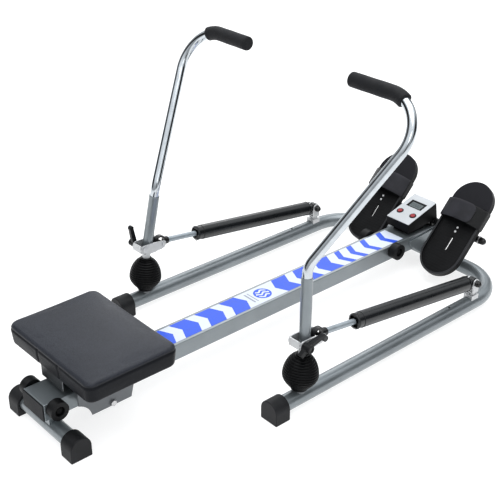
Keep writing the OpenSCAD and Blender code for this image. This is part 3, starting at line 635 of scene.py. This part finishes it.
def mix_all_finishes(colours):
    """Makes every finish once, from the scene's colours."""
    FINISHES.clear()
    silver, black = tuple(colours.frame), tuple(colours.black)
    paint("frame_paint", silver, 0.55, 0.33, coat=0.25)
    paint("carriage_paint", tuple(colours.carriage), 0.45, 0.38, coat=0.15)
    paint("tongue_paint", shade(tuple(colours.carriage), 0.30), 0.3, 0.42, coat=0.1)
    paint("console_silver", (0.50, 0.52, 0.54), 0.45, 0.34, coat=0.15, fleck=0.1)
    paint("damper_paint", (0.010, 0.0115, 0.0135), 0.0, 0.30, coat=0.45, dirt=0.3, fleck=0.0)
    paint("black_steel", shade(black, 0.8), 0.2, 0.34, coat=0.3, dirt=0.3, fleck=0.0)
    bare_metal("zinc", (0.66, 0.66, 0.67), 0.30)
    bare_metal("bracket_steel", (0.62, 0.63, 0.64), 0.42, depth=0.00002, metal=0.55)
    bare_metal("chrome", (0.60, 0.635, 0.665), 0.13, grain=(1, 1, 0.2), depth=0.000002)
    moulded("black_plastic", black, 0.42)
    moulded("cap_plastic", shade(black, 1.3), 0.50, grain=0.0009, depth=0.00008)
    moulded("plug_plastic", shade(black, 1.4), 0.62, grain=0.0022, depth=0.0004)
    moulded("black_rubber", shade(black, 0.8), 0.48, grain=0.0012, depth=0.00006)
    moulded("bellows_rubber", shade(black, 0.4), 0.24, grain=0.0010, depth=0.00003, gloss=0.14)
    moulded("case_plastic", shade(black, 0.6), 0.52, gloss=0.16)
    bare_metal("rod_chrome", (0.40, 0.445, 0.48), 0.42, grain=(1, 1, 0.2), depth=0.000002, metal=0.5)
    moulded("roller_nylon", (0.06, 0.06, 0.062), 0.45)
    moulded("red_plastic", tuple(colours.button), 0.28, coat=0.4, tint=0.08)
    moulded("circuit", (0.02, 0.10, 0.05), 0.40, coat=0.4)
    moulded("pad_plastic", (0.030, 0.030, 0.036), 0.62, grain=0.0008, depth=0.00006)
    foam_finish("grip_foam", (0.006, 0.0065, 0.0085))
    vinyl_finish("vinyl", tuple(colours.vinyl))
    webbing_finish("webbing", shade(black, 0.7))
    decal_finish("decal", (0.63, 0.68, 0.77), tuple(colours.arrows))
    display_finish("display")
    tread_finish("foot_plastic", shade(black, 0.5))


# ---------------------------------------------------------------- settings


def length_setting(name, description, default, low, high):
    """A length that the panel shows."""
    return FloatProperty(
        name=name, description=description, default=default, min=low, max=high, unit="LENGTH",
    )


class RowerSizes(bpy.types.PropertyGroup):
    """Sizes of the pieces that a maker would change."""

    crown: length_setting("Seat crown", "How far the seat cushion may swell", 0.005, 0.0, 0.02)
    ribs: IntProperty(
        name="Bellows ribs", description="Number of ribs on each rubber bellows", default=15, min=6, max=24,
    )
    rib_depth: length_setting(
        "Rib depth", "Depth of the grooves between the bellows' ribs", 0.0022, 0.0005, 0.004
    )
    grip_radius: length_setting("Grip radius", "Outer radius of the foam grips", 0.0165, 0.013, 0.02)
    strap_thickness: length_setting("Strap thickness", "Thickness of the foot straps", 0.0022, 0.001, 0.004)


def colour_setting(name, description, default):
    """A colour that the panel shows."""
    return FloatVectorProperty(
        name=name, description=description, subtype="COLOR", size=3, min=0, max=1, default=default,
    )


class RowerColours(bpy.types.PropertyGroup):
    """Colours of the machine's finishes."""

    frame: colour_setting("Frame", "Silver paint of the frame", (0.25, 0.275, 0.29))
    carriage: colour_setting("Carriage", "Paint of the seat carriage", (0.16, 0.17, 0.18))
    black: colour_setting("Black", "Base tone of the black parts", (0.014, 0.0145, 0.016))
    vinyl: colour_setting("Vinyl", "Seat cover", (0.062, 0.067, 0.082))
    arrows: colour_setting("Arrows", "Blue of the rail's printed film", (0.030, 0.105, 0.66))
    button: colour_setting("Buttons", "Red of the console's buttons", (0.30, 0.010, 0.018))


class StageSettings(bpy.types.PropertyGroup):
    """The floor, the light and the lens."""

    floor: colour_setting("Floor", "Colour of the floor", (0.46, 0.46, 0.46))
    lens: FloatProperty(
        name="Lens", description="Focal length on a 36 mm sensor", default=73.87, min=20, max=200,
        unit="CAMERA",
    )
    sky: FloatProperty(name="Sky", description="Strength of the surrounding light", default=1.0, min=0, max=5)
    key: FloatProperty(
        name="Key", description="Power of the overhead light", default=38.0, min=0, max=500, unit="POWER",
    )


# ---------------------------------------------------------------- pieces


SPECIAL = {
    "rail_end_plugs": "plug_plastic", "foot_caps": "cap_plastic", "console_case": "case_plastic",
    "arm_mounts": "carriage_paint", "bumper_bolts": "case_plastic",
    "damper_rod_right": "rod_chrome", "damper_rod_left": "rod_chrome",
    "bellows_right": "bellows_rubber", "bellows_left": "bellows_rubber",
}


def finish_of(node):
    """A node's finish: its own, or else the one of its record slot."""
    return FINISHES[SPECIAL.get(node, SLOTS[node])]


class ROWER_OT_finishes(bpy.types.Operator):
    """Mix the finishes and put them on the CAD parts that stay as they are"""

    bl_idname = "rower.finishes"
    bl_label = "Finishes"

    def execute(self, context):
        mix_all_finishes(context.scene.rower_colours)
        for name, node in NODES.items():
            for slot in node.material_slots:
                slot.material = finish_of(name)
        return {"FINISHED"}


def second_finish(piece, finish, chosen):
    """Gives the faces whose centres are chosen another finish."""
    mesh = piece.data
    mesh.materials.append(finish)
    picked = chosen(vectors(mesh.polygons, "center"))
    mesh.polygons.foreach_set("material_index", picked.astype(np.int32))
    mesh.update()


class ROWER_OT_fittings(bpy.types.Operator):
    """Round the edges of the cut, cast and moulded parts, by a width in millimetres in steps"""

    bl_idname = "rower.fittings"
    bl_label = "Fittings"

    def execute(self, context):
        jobs = {
            "rail": (2.0, 3), "rail_end_plugs": (0.8, 2), "foot_caps": (2.0, 3),
            "frame_brackets": (0.6, 2), "bumper_bolts": (0.6, 2), "arm_mounts": (0.5, 2),
            "damper_mounts": (0.8, 2), "axle_bracket": (0.8, 2), "axle_hardware": (0.5, 2),
            "console_mount": (0.8, 2), "console_case": (1.2, 3), "console_face": (0.4, 2),
            "button_left": (0.6, 2), "button_right": (0.6, 2), "seat_board": (1.0, 2),
            "seat_carriage": (0.8, 2), "carriage_bolts": (0.5, 2),
            "roller_rear": (1.0, 2), "roller_front": (1.0, 2), "roller_lower": (1.0, 2),
        }
        for side, _ in SIDES:
            jobs |= {
                f"arm_yoke_{side}": (0.6, 2), f"yoke_bolts_{side}": (0.9, 2), f"clamp_lever_{side}": (1.2, 3),
                f"damper_clevis_{side}": (0.6, 2), f"damper_bolt_{side}": (0.5, 2),
                f"damper_cylinder_{side}": (0.8, 2), f"damper_gland_{side}": (0.6, 2),
                f"rod_eye_{side}": (0.8, 2), f"footrest_{side}": (1.4, 3), f"lower_tube_{side}": (0.5, 2),
            }
        for node, (width, segments) in jobs.items():
            eased(node, finish_of(node), SLOTS[node], width * MM, segments)
        for side, sign in SIDES:
            bolts = bpy.data.objects[f"yoke_bolts_{side}_eased"]
            second_finish(bolts, FINISHES["bracket_steel"], lambda c: c[:, 0] * sign < PIVOT[0] - 19.4 * MM)
        axle = bpy.data.objects["axle_hardware_eased"]
        second_finish(axle, FINISHES["zinc"], lambda c: abs(abs(c[:, 0]) - 185.4 * MM) < 1.9 * MM)
        carriage = bpy.data.objects["seat_carriage_eased"]
        second_finish(carriage, FINISHES["tongue_paint"], lambda c: c[:, 1] < PIVOT[1] - 430 * MM)
        return {"FINISHED"}


def chrome_tube(route, side):
    """The handle's upper tube, from inside the painted tube to just short of the grip's end."""
    reach = length_of(route)
    start, end = LOWER_TUBE - TUBE_INSERT, reach[-1] - 1 * MM
    along = np.concatenate([[start], reach[(reach > start) & (reach < end)], [end]])
    tube = Skin().add(carried(route, along, np.full(len(along), TUBE_RADIUS), 56))
    tube = tube.make(f"chrome_tube_{side}", FINISHES["chrome"])
    placed(tube, f"arm_{side}", "chrome", f"upper_tube_{side}")


def foam_grip(route, side, sign, outer):
    """A foam sleeve with a rounded lip, a slightly uneven wall, a domed nose past the tube's end
    and the mouth of its bore."""
    lip_ease, nose_depth, nose_past = 1.6 * MM, 9 * MM, 3.4 * MM
    start = length_of(route)[-1] - GRIP_LENGTH
    lead = np.linspace(0, 1, 9) * math.pi / 2
    lip_at, lip = lip_ease * (1 - np.cos(lead)), outer - lip_ease * (1 - np.sin(lead))
    nose = np.linspace(0, 1, 17) * math.pi / 2
    nose_at = GRIP_LENGTH + nose_past - nose_depth * (1 - np.sin(nose))
    nose_r = np.clip(outer * (1 - (1 - np.cos(nose)) ** 2.6), 0.4 * MM, None)
    middle = np.linspace(lip_at[-1] + 2 * MM, nose_at[0] - 1 * MM, 60)
    at = np.concatenate([[0.0], lip_at, middle, nose_at])
    radius = np.concatenate([[GRIP_BORE], lip, np.full(60, outer), nose_r])
    swell = 1 + 0.010 * np.sin(at / (9 * MM) + sign) * np.exp(-((at - 0.07) / 0.06) ** 2)
    grip = Skin().add(carried(route, start + at, radius * swell, 56), caps=(False, True))
    mouth = start + np.array([0.0, 4 * MM])
    grip.add(carried(route, mouth, np.full(2, GRIP_BORE), 56), caps=(False, False))
    piece = grip.make(f"foam_grip_{side}", FINISHES["grip_foam"], 60)
    placed(piece, f"arm_{side}", "grip_foam", f"grip_{side}")


class ROWER_OT_handles(bpy.types.Operator):
    """Bend the chromed handle tubes and sleeve them with foam grips"""

    bl_idname = "rower.handles"
    bl_label = "Handles"

    def execute(self, context):
        sizes = context.scene.rower_sizes
        for side, sign in SIDES:
            route = rounded_route(handed(PIVOT + ARM_CORNERS, sign), ARM_BENDS)
            chrome_tube(route, side)
            foam_grip(route, side, sign, sizes.grip_radius)
        return {"FINISHED"}


BOOT_LOW, BOOT_HIGH = -33 * MM, 50 * MM
BOOT_FOOT_R, BOOT_WIDE_R, BOOT_NECK_R = 17, 40, 13.5
BOOT_WIDE_AT = 0.42
BOOT_WALL = 1.6 * MM
CLIP_WIDTH, CLIP_EASE = 3.2 * MM, 1.0 * MM


def boot_radius(t, ribs, depth):
    """The bellows' radius from foot (0) to neck (1): widest at BOOT_WIDE_AT, with grooves of this
    depth between the ribs that fade out at both ends."""
    swell = np.sin(np.pi / 2 * np.clip(t / BOOT_WIDE_AT, 0, 1)) ** 1.1
    fall = np.clip((t - BOOT_WIDE_AT) / (1 - BOOT_WIDE_AT), 0, 1)
    fall = np.clip(np.cos(np.pi / 2 * fall), 0, 1) ** 0.55
    lower = BOOT_FOOT_R + (BOOT_WIDE_R - BOOT_FOOT_R) * swell
    upper = BOOT_NECK_R + (BOOT_WIDE_R - BOOT_NECK_R) * fall
    groove = 1 - np.abs(np.cos(np.pi * ribs * t)) ** 0.6
    fade = np.clip(np.minimum(t, 1 - t) / 0.04, 0, 1)
    return np.where(t < BOOT_WIDE_AT, lower, upper) * MM - depth * groove * fade


class ROWER_OT_bellows(bpy.types.Operator):
    """Turn the ribbed rubber bellows over the arm joints"""

    bl_idname = "rower.bellows"
    bl_label = "Bellows"

    def execute(self, context):
        sizes = context.scene.rower_sizes
        foot = PIVOT + np.array([0, 0, BOOT_LOW])
        neck = PIVOT + np.array([0, BOOT_HIGH * NECK_LEAN, BOOT_HIGH])
        axis = unit(neck - foot)
        rise = float(np.linalg.norm(neck - foot))
        split = float((PIVOT - foot) @ axis)
        t = np.linspace(0, 1, 16 * sizes.ribs + 1)
        radius = boot_radius(t, sizes.ribs, sizes.rib_depth)
        along = t * rise
        cut = int(np.argmin(np.abs(along - split)))
        along[cut] = split
        for side, sign in SIDES:
            base, tip = handed(foot, sign), handed(neck, sign)
            hinge = base + unit(tip - base) * split
            parts = (
                ("lower", slice(0, cut + 1), "frame", f"cross_{side}", base, hinge),
                ("upper", slice(cut, None), f"cross_{side}", f"arm_{side}", hinge, tip),
            )
            for place, rows, near, far, start, end in parts:
                outer = turned(base, tip, along[rows], radius[rows], 72)
                inner = turned(base, tip, along[rows], radius[rows] - BOOT_WALL, 72)
                skin = Skin().add(np.concatenate([outer, inner[::-1], outer[:1]]), caps=(False, False))
                piece = skin.make(f"boot_{place}_{side}", FINISHES["bellows_rubber"], 60)
                outward(piece.data, join=SAME_PLACE)
                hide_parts(f"bellows_{side}")
                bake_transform(piece, near, far, tuple(start), tuple(end))
            clips = (("low", -1.0, 18.4, "frame"), ("high", 83.5, 14.4, f"arm_{side}"))
            for place, at, reach, body in clips:
                start = base + unit(tip - base) * at * MM
                profile = eased_ends(CLIP_WIDTH, reach * MM, CLIP_EASE)
                clip = Skin().add(turned(start, start + unit(tip - base), *profile, 64))
                clip = clip.make(f"boot_clip_{place}_{side}", FINISHES["black_rubber"])
                placed(clip, body, "black_rubber")
        return {"FINISHED"}


def rounded_outline(half_x, half_y, corner, count):
    """Points round a rectangle with round corners, evenly spaced by angle in each corner."""
    t = np.linspace(0, math.pi / 2, count)
    arc = np.stack([np.cos(t), np.sin(t)], axis=1) * corner
    inner = np.array([half_x - corner, half_y - corner])
    quarters = [arc + inner, arc[:, ::-1] * (-1, 1) + inner * (-1, 1)]
    quarters = quarters + [-q for q in quarters]
    return np.vstack(quarters)


class ROWER_OT_seat(bpy.types.Operator):
    """Stuff and cover the seat cushion"""

    bl_idname = "rower.seat"
    bl_label = "Seat cushion"

    def execute(self, context):
        low, high = node_box("seat_cushion")
        middle = (low + high) / 2
        half = (high - low) / 2
        thick = high[2] - low[2]
        swell = context.scene.rower_sizes.crown
        t = np.linspace(0, math.pi / 2, 9)
        levels = np.concatenate([[0, 0, 0.03], np.linspace(0.08, 0.72, 8), 0.72 + 0.28 * np.sin(t[1:])])
        wall = np.linspace(0.0035, 0.0008, 8)
        inset = np.concatenate([[0.020, 0.0080, 0.0050], wall, 0.0008 + 0.0085 * (1 - np.cos(t[1:]))])
        rows = []
        for level, back in zip(levels, inset):
            outline = rounded_outline(half[0] - back, half[1] - back, max(0.006, 0.020 - back * 0.4), 12)
            height = np.full(len(outline), low[2] + level * (thick - 0.0015))
            rows.append(np.column_stack([outline + middle[:2], height]))
        grid = np.stack(rows)
        lid = [(1 - s) * grid[-1] + s * grid[-1].mean(0) for s in np.linspace(0.12, 0.96, 8)]
        grid = np.concatenate([grid, np.stack(lid)])
        piece = Skin().add(grid).make("vinyl_cushion", FINISHES["vinyl"], 180)
        piece = stuffed(piece, low, high, swell)
        dress_seat(piece, low, high)
        placed(piece, "seat", "vinyl", "seat_cushion")
        return {"FINISHED"}


def remeshed(piece, voxel=0.004):
    """Even faces all over a closed piece."""
    even = piece.modifiers.new("Even", "REMESH")
    even.mode = "VOXEL"
    even.voxel_size = voxel
    return applied(piece)


def applied(piece):
    """The piece with its modifiers made part of its mesh."""
    deps = bpy.context.evaluated_depsgraph_get()
    mesh = bpy.data.meshes.new_from_object(piece.evaluated_get(deps))
    piece.modifiers.clear()
    piece.data = mesh
    return piece


def stuffed(piece, low, high, limit):
    """Blows the cushion up by cloth simulation with air pressure inside; a point moves by at
    most the limit, an eighth of it at the cushion's edges, and the underside stays flat."""
    piece = remeshed(piece)
    start = vectors(piece.data.vertices, "co")
    cloth = piece.modifiers.new("Cloth", "CLOTH")
    settings = {
        "quality": 6, "mass": 0.3, "tension_stiffness": 18, "compression_stiffness": 18,
        "shear_stiffness": 6, "bending_stiffness": 1.2, "use_pressure": True,
        "uniform_pressure_force": 4,
    }
    for key, value in settings.items():
        setattr(cloth.settings, key, value)
    cloth.settings.effector_weights.gravity = 0
    cloth.collision_settings.use_collision = False
    scene = bpy.context.scene
    for step in range(1, 21):
        scene.frame_set(step)
    deps = bpy.context.evaluated_depsgraph_get()
    swollen = piece.evaluated_get(deps).to_mesh()
    move = vectors(swollen.vertices, "co") - start
    piece.evaluated_get(deps).to_mesh_clear()
    piece.modifiers.clear()
    scene.frame_set(1)
    size = np.linalg.norm(move, axis=1, keepdims=True)
    out = np.clip(np.abs(start[:, :2] - (low + high)[:2] / 2) / ((high - low)[:2] / 2), 0, 1)
    crown = np.prod(1 - out ** 3, axis=1, keepdims=True)
    move = move / np.maximum(size, 1e-9) * np.minimum(size, limit)
    move *= 0.12 + 0.88 * crown
    move[:, 2] = np.where(start[:, 2] < low[2] + 0.006, 0, move[:, 2])
    piece.data.vertices.foreach_set("co", (start + move).ravel())
    piece.data.update()
    return piece


SEAMS = (-36 * MM, 41 * MM)
SEAM_DEPTH, SEAM_HALF = 3.4 * MM, 2.4 * MM
WELT_DEPTH, WELT_HALF, WELT_DOWN = 2.0 * MM, 2.0 * MM, 12.5 * MM


def groove(offset, half):
    """How deep a groove of this half width is, from 0 to 1, at an offset from its middle."""
    return np.exp(-((offset / half) ** 2))


def dress_seat(piece, low, high):
    """Presses two seams into the cushion's rear face, and a groove all round its sides under the
    top panel, after one subdivision."""
    finer = piece.modifiers.new("Finer", "SUBSURF")
    finer.levels = finer.render_levels = 1
    applied(piece)
    smooth(piece.data, 180)
    piece.data.materials.clear()
    piece.data.materials.append(FINISHES["vinyl"])
    points = vectors(piece.data.vertices, "co")
    normals = vectors(piece.data.vertices, "normal")
    rear = np.clip((low[1] + 0.03 - points[:, 1]) / 0.02, 0, 1)
    side = np.clip((high[2] - 0.010 - points[:, 2]) / 0.006, 0, 1)
    drop = np.zeros(len(points))
    for seam in SEAMS:
        drop += SEAM_DEPTH * groove(points[:, 0] - seam, SEAM_HALF) * rear * side
    upright = np.clip(1.6 - 2 * np.abs(normals[:, 2]), 0, 1)
    drop += WELT_DEPTH * groove(points[:, 2] - high[2] + WELT_DOWN, WELT_HALF) * upright
    points -= normals * drop[:, None]
    piece.data.vertices.foreach_set("co", points.ravel())
    piece.data.update()


def foot_points(local, side):
    """Points from a footrest's own frame (across, heel to toe, out of the face) to the row's."""
    c, s = math.cos(FOOT_TILT), math.sin(FOOT_TILT)
    x = AXLE[0] + local[..., 0]
    y = AXLE[1] + local[..., 1] * c - local[..., 2] * s
    z = AXLE[2] + local[..., 1] * s + local[..., 2] * c
    return handed(np.stack([x, y, z], axis=-1), side)


def band(track, out, width_at, thickness):
    """A strap along a track in the plane across the foot: for each track point, a thin rounded
    rectangle from width_at[i, 0] to width_at[i, 1] along the foot, thickness thick outwards."""
    v = np.linspace(0, 1, 15)
    span = width_at[:, :1] + (width_at[:, 1:] - width_at[:, :1]) * v
    edge = np.minimum(v, 1 - v) * (width_at[:, 1:] - width_at[:, :1])
    rise = thickness / 2 * np.sqrt(np.clip(1 - (1 - np.clip(edge / (thickness / 2), 0, 1)) ** 2, 0, 1))
    sheets = []
    for lift in (thickness / 2 + rise, thickness / 2 - rise):
        place = track[:, None, :] + out[:, None, :] * lift[..., None]
        sheets.append(np.stack([place[..., 0], span, place[..., 1]], axis=-1))
    return np.concatenate([sheets[0], sheets[1][:, ::-1]], axis=1)


class ROWER_OT_straps(bpy.types.Operator):
    """Sew the straps over the footrests"""

    bl_idname = "rower.straps"
    bl_label = "Foot straps"

    def execute(self, context):
        thick = context.scene.rower_sizes.strap_thickness
        half, rise, face, low = 59.5 * MM, 22 * MM, 42 * MM, 24 * MM
        radius = (half * half + rise * rise) / (2 * rise)
        reach = math.asin(half / radius)
        angle = np.linspace(-reach, reach, 61)
        arch = np.stack([radius * np.sin(angle), face + rise - radius + radius * np.cos(angle)], axis=1)
        out = np.stack([np.sin(angle), np.cos(angle)], axis=1)
        drop = np.linspace(0, 1, 9)[1:, None]
        left = np.array([[-half - 0.3 * MM, low + 1 * MM]]) * drop + arch[:1] * (1 - drop)
        track = np.vstack([left[::-1], arch, left * (-1, 1)])
        ways = unit(np.vstack([np.repeat([[-1.0, 0.0]], 8, 0), out, np.repeat([[1.0, 0.0]], 8, 0)]))
        ends = np.array([[14.0, 66.0]]) * MM
        wide = np.repeat(ends, len(track), 0)
        length = np.concatenate([[0], np.cumsum(np.linalg.norm(np.diff(track, axis=0), axis=1))])
        pad_half = 36 * MM
        pad = arch[:, 0] < pad_half
        for side, sign in SIDES:
            local = band(track, ways, wide, thick)
            around = np.linspace(0, 0.104, local.shape[1] + 1)
            lay = np.stack(np.broadcast_arrays(length[:, None], around), axis=-1)
            strap = Skin().add(foot_points(local, sign), lay=lay)
            strap = strap.make(f"strap_{side}", FINISHES["webbing"], 50)
            placed(strap, f"pedal_{side}", "webbing", f"footrest_strap_{side}")
            run = arch[pad] + out[pad] * (thick + 0.15 * MM)
            near = np.clip((pad_half - arch[pad][:, 0]) / (16 * MM), 0, 1)
            trim = 15 * MM * (1 - np.sqrt(np.clip(1 - (1 - near) ** 2, 0, 1)))
            edges = np.stack([13.5 * MM + trim, 66.5 * MM - trim], axis=1)
            cover = band(run, out[pad], edges, 2.0 * MM)
            flap = Skin().add(foot_points(cover, sign))
            flap = flap.make(f"strap_pad_{side}", FINISHES["pad_plastic"], 50)
            placed(flap, f"pedal_{side}", "foot_plastic")
        return {"FINISHED"}


def studio_walls(tree, strength):
    """A world of pale walls under a brighter ceiling, with four dark gaps between the walls that
    bright metal mirrors as streaks. The camera itself sees an even pale backdrop."""
    walls = Nodes(tree, "Generated")
    background = tree.nodes.new("ShaderNodeBackground")
    output = tree.nodes.new("ShaderNodeOutputWorld")
    tree.links.new(background.outputs[0], output.inputs[0])
    x, y, z = walls.axes()
    around = walls.node("ShaderNodeMath", {"operation": "ARCTAN2"}, {0: y, 1: x})
    gap = None
    for middle, half in ((-2.35, 0.42), (0.72, 0.40), (1.75, 0.10), (-0.45, 0.10)):
        one = abs(around - middle).spread(half * 0.7, half * 1.3, 1.0, 0.0)
        gap = one if gap is None else gap.high(one)
    high = z.spread(0.15, 0.75)
    dark = gap * (1 - z.spread(0.45, 0.7))
    tone = (high * 0.55 + 0.45) * (1 - dark * 0.93)
    seen = walls.node("ShaderNodeLightPath", out="Is Camera Ray")
    walls.feed(background.inputs["Color"], walls.blend(tone.high(seen * 0.92), (0, 0, 0), (0.96, 0.98, 1.0)))
    background.inputs["Strength"].default_value = strength


def disc(centre, axis, radius, height, ease, sides=40):
    """Rings of a low round head standing on a point, its rim rounded by ease."""
    along, reach = eased_ends(height, radius, ease, first=False)
    return turned(centre, np.asarray(centre) + unit(axis), along, reach, sides)


def closed(grid):
    """A tube's rings with the first one again at the end."""
    return np.concatenate([grid, grid[:1]])


def sealed(piece):
    """The piece with its doubled seam points joined."""
    outward(piece.data, join=SAME_PLACE)
    smooth(piece.data, 60)
    return piece


class ROWER_OT_trim(bpy.types.Operator):
    """Add the button bezels and the footrests' screws"""

    bl_idname = "rower.trim"
    bl_label = "Trim"

    def execute(self, context):
        up = np.array([0, math.cos(CONSOLE_SLOPE), math.sin(CONSOLE_SLOPE)])
        out = np.array([0, -math.sin(CONSOLE_SLOPE), math.cos(CONSOLE_SLOPE)])
        button_x, button_down = 22 * MM, 21 * MM
        for name, x in (("left", -button_x), ("right", button_x)):
            centre = CONSOLE_CENTRE + (x, 0, 0) - button_down * up
            t = np.linspace(0, 2 * math.pi, 17)[:-1]
            radius = 8.0 * MM + 1.5 * MM * np.cos(t)
            along = 0.3 * MM + 0.9 * MM * np.sin(t)
            ring = Skin().add(closed(turned(centre, centre + out, along, radius, 48)), caps=(False, False))
            bezel = sealed(ring.make(f"bezel_{name}", FINISHES["black_plastic"], 60))
            placed(bezel, "frame", "black_plastic")
        for side, sign in SIDES:
            screws = Skin()
            face_out = np.array([0, -math.sin(FOOT_TILT), math.cos(FOOT_TILT)])
            for along in (-12, 0):
                base = foot_points(np.array([0, along, 34.1]) * MM, sign)
                screws.add(disc(base, face_out, 3.4 * MM, 1.3 * MM, 0.6 * MM, 32))
            placed(screws.make(f"screws_{side}", FINISHES["zinc"], 50), f"pedal_{side}", "zinc")
        return {"FINISHED"}


# The camera, fitted to the machine's straight edges: its place from the arms' pivots along the
# rail, its turn about the vertical and its tilt below level.
CAMERA_AT = (1.5669, -1.2655, 1.3533)
CAMERA_YAW, CAMERA_PITCH = math.radians(48.82), math.radians(28.28)


class ROWER_OT_stage(bpy.types.Operator):
    """Lay the floor and set the light and the camera"""

    bl_idname = "rower.stage"
    bl_label = "Stage"

    def execute(self, context):
        stage = context.scene.rower_stage
        scene = context.scene
        reach, gap = 6.0, 0.2 * MM
        corners = np.array([[[-1, -1, 0], [1, -1, 0]], [[-1, 1, 0], [1, 1, 0]]]) * reach
        floor = Skin().add(corners - (0, 0, gap), wrap=False, caps=(False, False))
        f = Finish("floor")
        speck = f.noise(0.4, 2.0)
        f.set(Base_Color=f.blend(speck, shade(stage.floor, 0.995), tuple(stage.floor)), Roughness=0.9)
        f.set(Specular_IOR_Level=0.0, Emission_Color=(1, 1, 1), Emission_Strength=0.62)
        ground = floor.make("floor", f.material)
        if ground.data.polygons[0].normal.z < 0:
            ground.data.flip_normals()
        world = bpy.data.worlds.new("studio")
        world.use_nodes = True
        scene.world = world
        studio_walls(world.node_tree, stage.sky)
        lights = (
            ("overhead", (0.2, 0.1, 3.0), (0.0, 0.0, 0.0), 3.0, stage.key),
            ("far_box", (-2.6, 2.2, 1.9), (0.0, 0.0, 0.2), 1.8, stage.key * 0.35),
            ("near_box", (2.4, -1.2, 2.2), (0.0, 0.0, 0.2), 1.0, stage.key * 0.12),
        )
        for name, at, aim, size, power in lights:
            data = bpy.data.lights.new(name, "AREA")
            data.energy, data.size = power, size
            lamp = bpy.data.objects.new(name, data)
            scene.collection.objects.link(lamp)
            lamp.location = at
            lamp.rotation_euler = (Vector(aim) - Vector(at)).to_track_quat("-Z", "Y").to_euler()
        camera = bpy.data.objects.new("camera", bpy.data.cameras.new("camera"))
        scene.collection.objects.link(camera)
        camera.data.sensor_width, camera.data.lens = 36.0, stage.lens
        camera.data.clip_end = 50
        camera.location = PIVOT * (0, 1, 0) + CAMERA_AT
        level = math.cos(CAMERA_PITCH)
        look = (-math.sin(CAMERA_YAW) * level, math.cos(CAMERA_YAW) * level, -math.sin(CAMERA_PITCH))
        camera.rotation_euler = Vector(look).to_track_quat("-Z", "Y").to_euler()
        scene.camera = camera
        scene.view_settings.view_transform = "Standard"
        scene.view_settings.look = "Medium High Contrast"
        return {"FINISHED"}


class ROWER_PT_panel(bpy.types.Panel):
    """Lists the machine's settings and its making steps"""

    bl_label = "Rowing Machine"
    bl_space_type = "VIEW_3D"
    bl_region_type = "UI"
    bl_category = "Rower"

    def draw(self, context):
        for group in (context.scene.rower_sizes, context.scene.rower_colours, context.scene.rower_stage):
            box = self.layout.box()
            for key in group.__annotations__:
                box.prop(group, key)
        for step in OPERATORS:
            self.layout.operator(step.bl_idname)


OPERATORS = (
    ROWER_OT_finishes, ROWER_OT_fittings, ROWER_OT_handles, ROWER_OT_bellows, ROWER_OT_seat,
    ROWER_OT_straps, ROWER_OT_trim, ROWER_OT_stage,
)
CLASSES = (RowerSizes, RowerColours, StageSettings, *OPERATORS, ROWER_PT_panel)


def register():
    """Registers the classes and hangs the settings on the scene."""
    for cls in CLASSES:
        bpy.utils.register_class(cls)
    bpy.types.Scene.rower_sizes = PointerProperty(type=RowerSizes)
    bpy.types.Scene.rower_colours = PointerProperty(type=RowerColours)
    bpy.types.Scene.rower_stage = PointerProperty(type=StageSettings)


def unregister():
    """Takes the settings off the scene and unregisters the classes."""
    del bpy.types.Scene.rower_stage, bpy.types.Scene.rower_colours, bpy.types.Scene.rower_sizes
    for cls in reversed(CLASSES):
        bpy.utils.unregister_class(cls)


def main():
    """Makes every piece in order."""
    register()
    for step in OPERATORS:
        group, name = step.bl_idname.split(".")
        getattr(getattr(bpy.ops, group), name)()


if __name__ == "__main__":
    main()
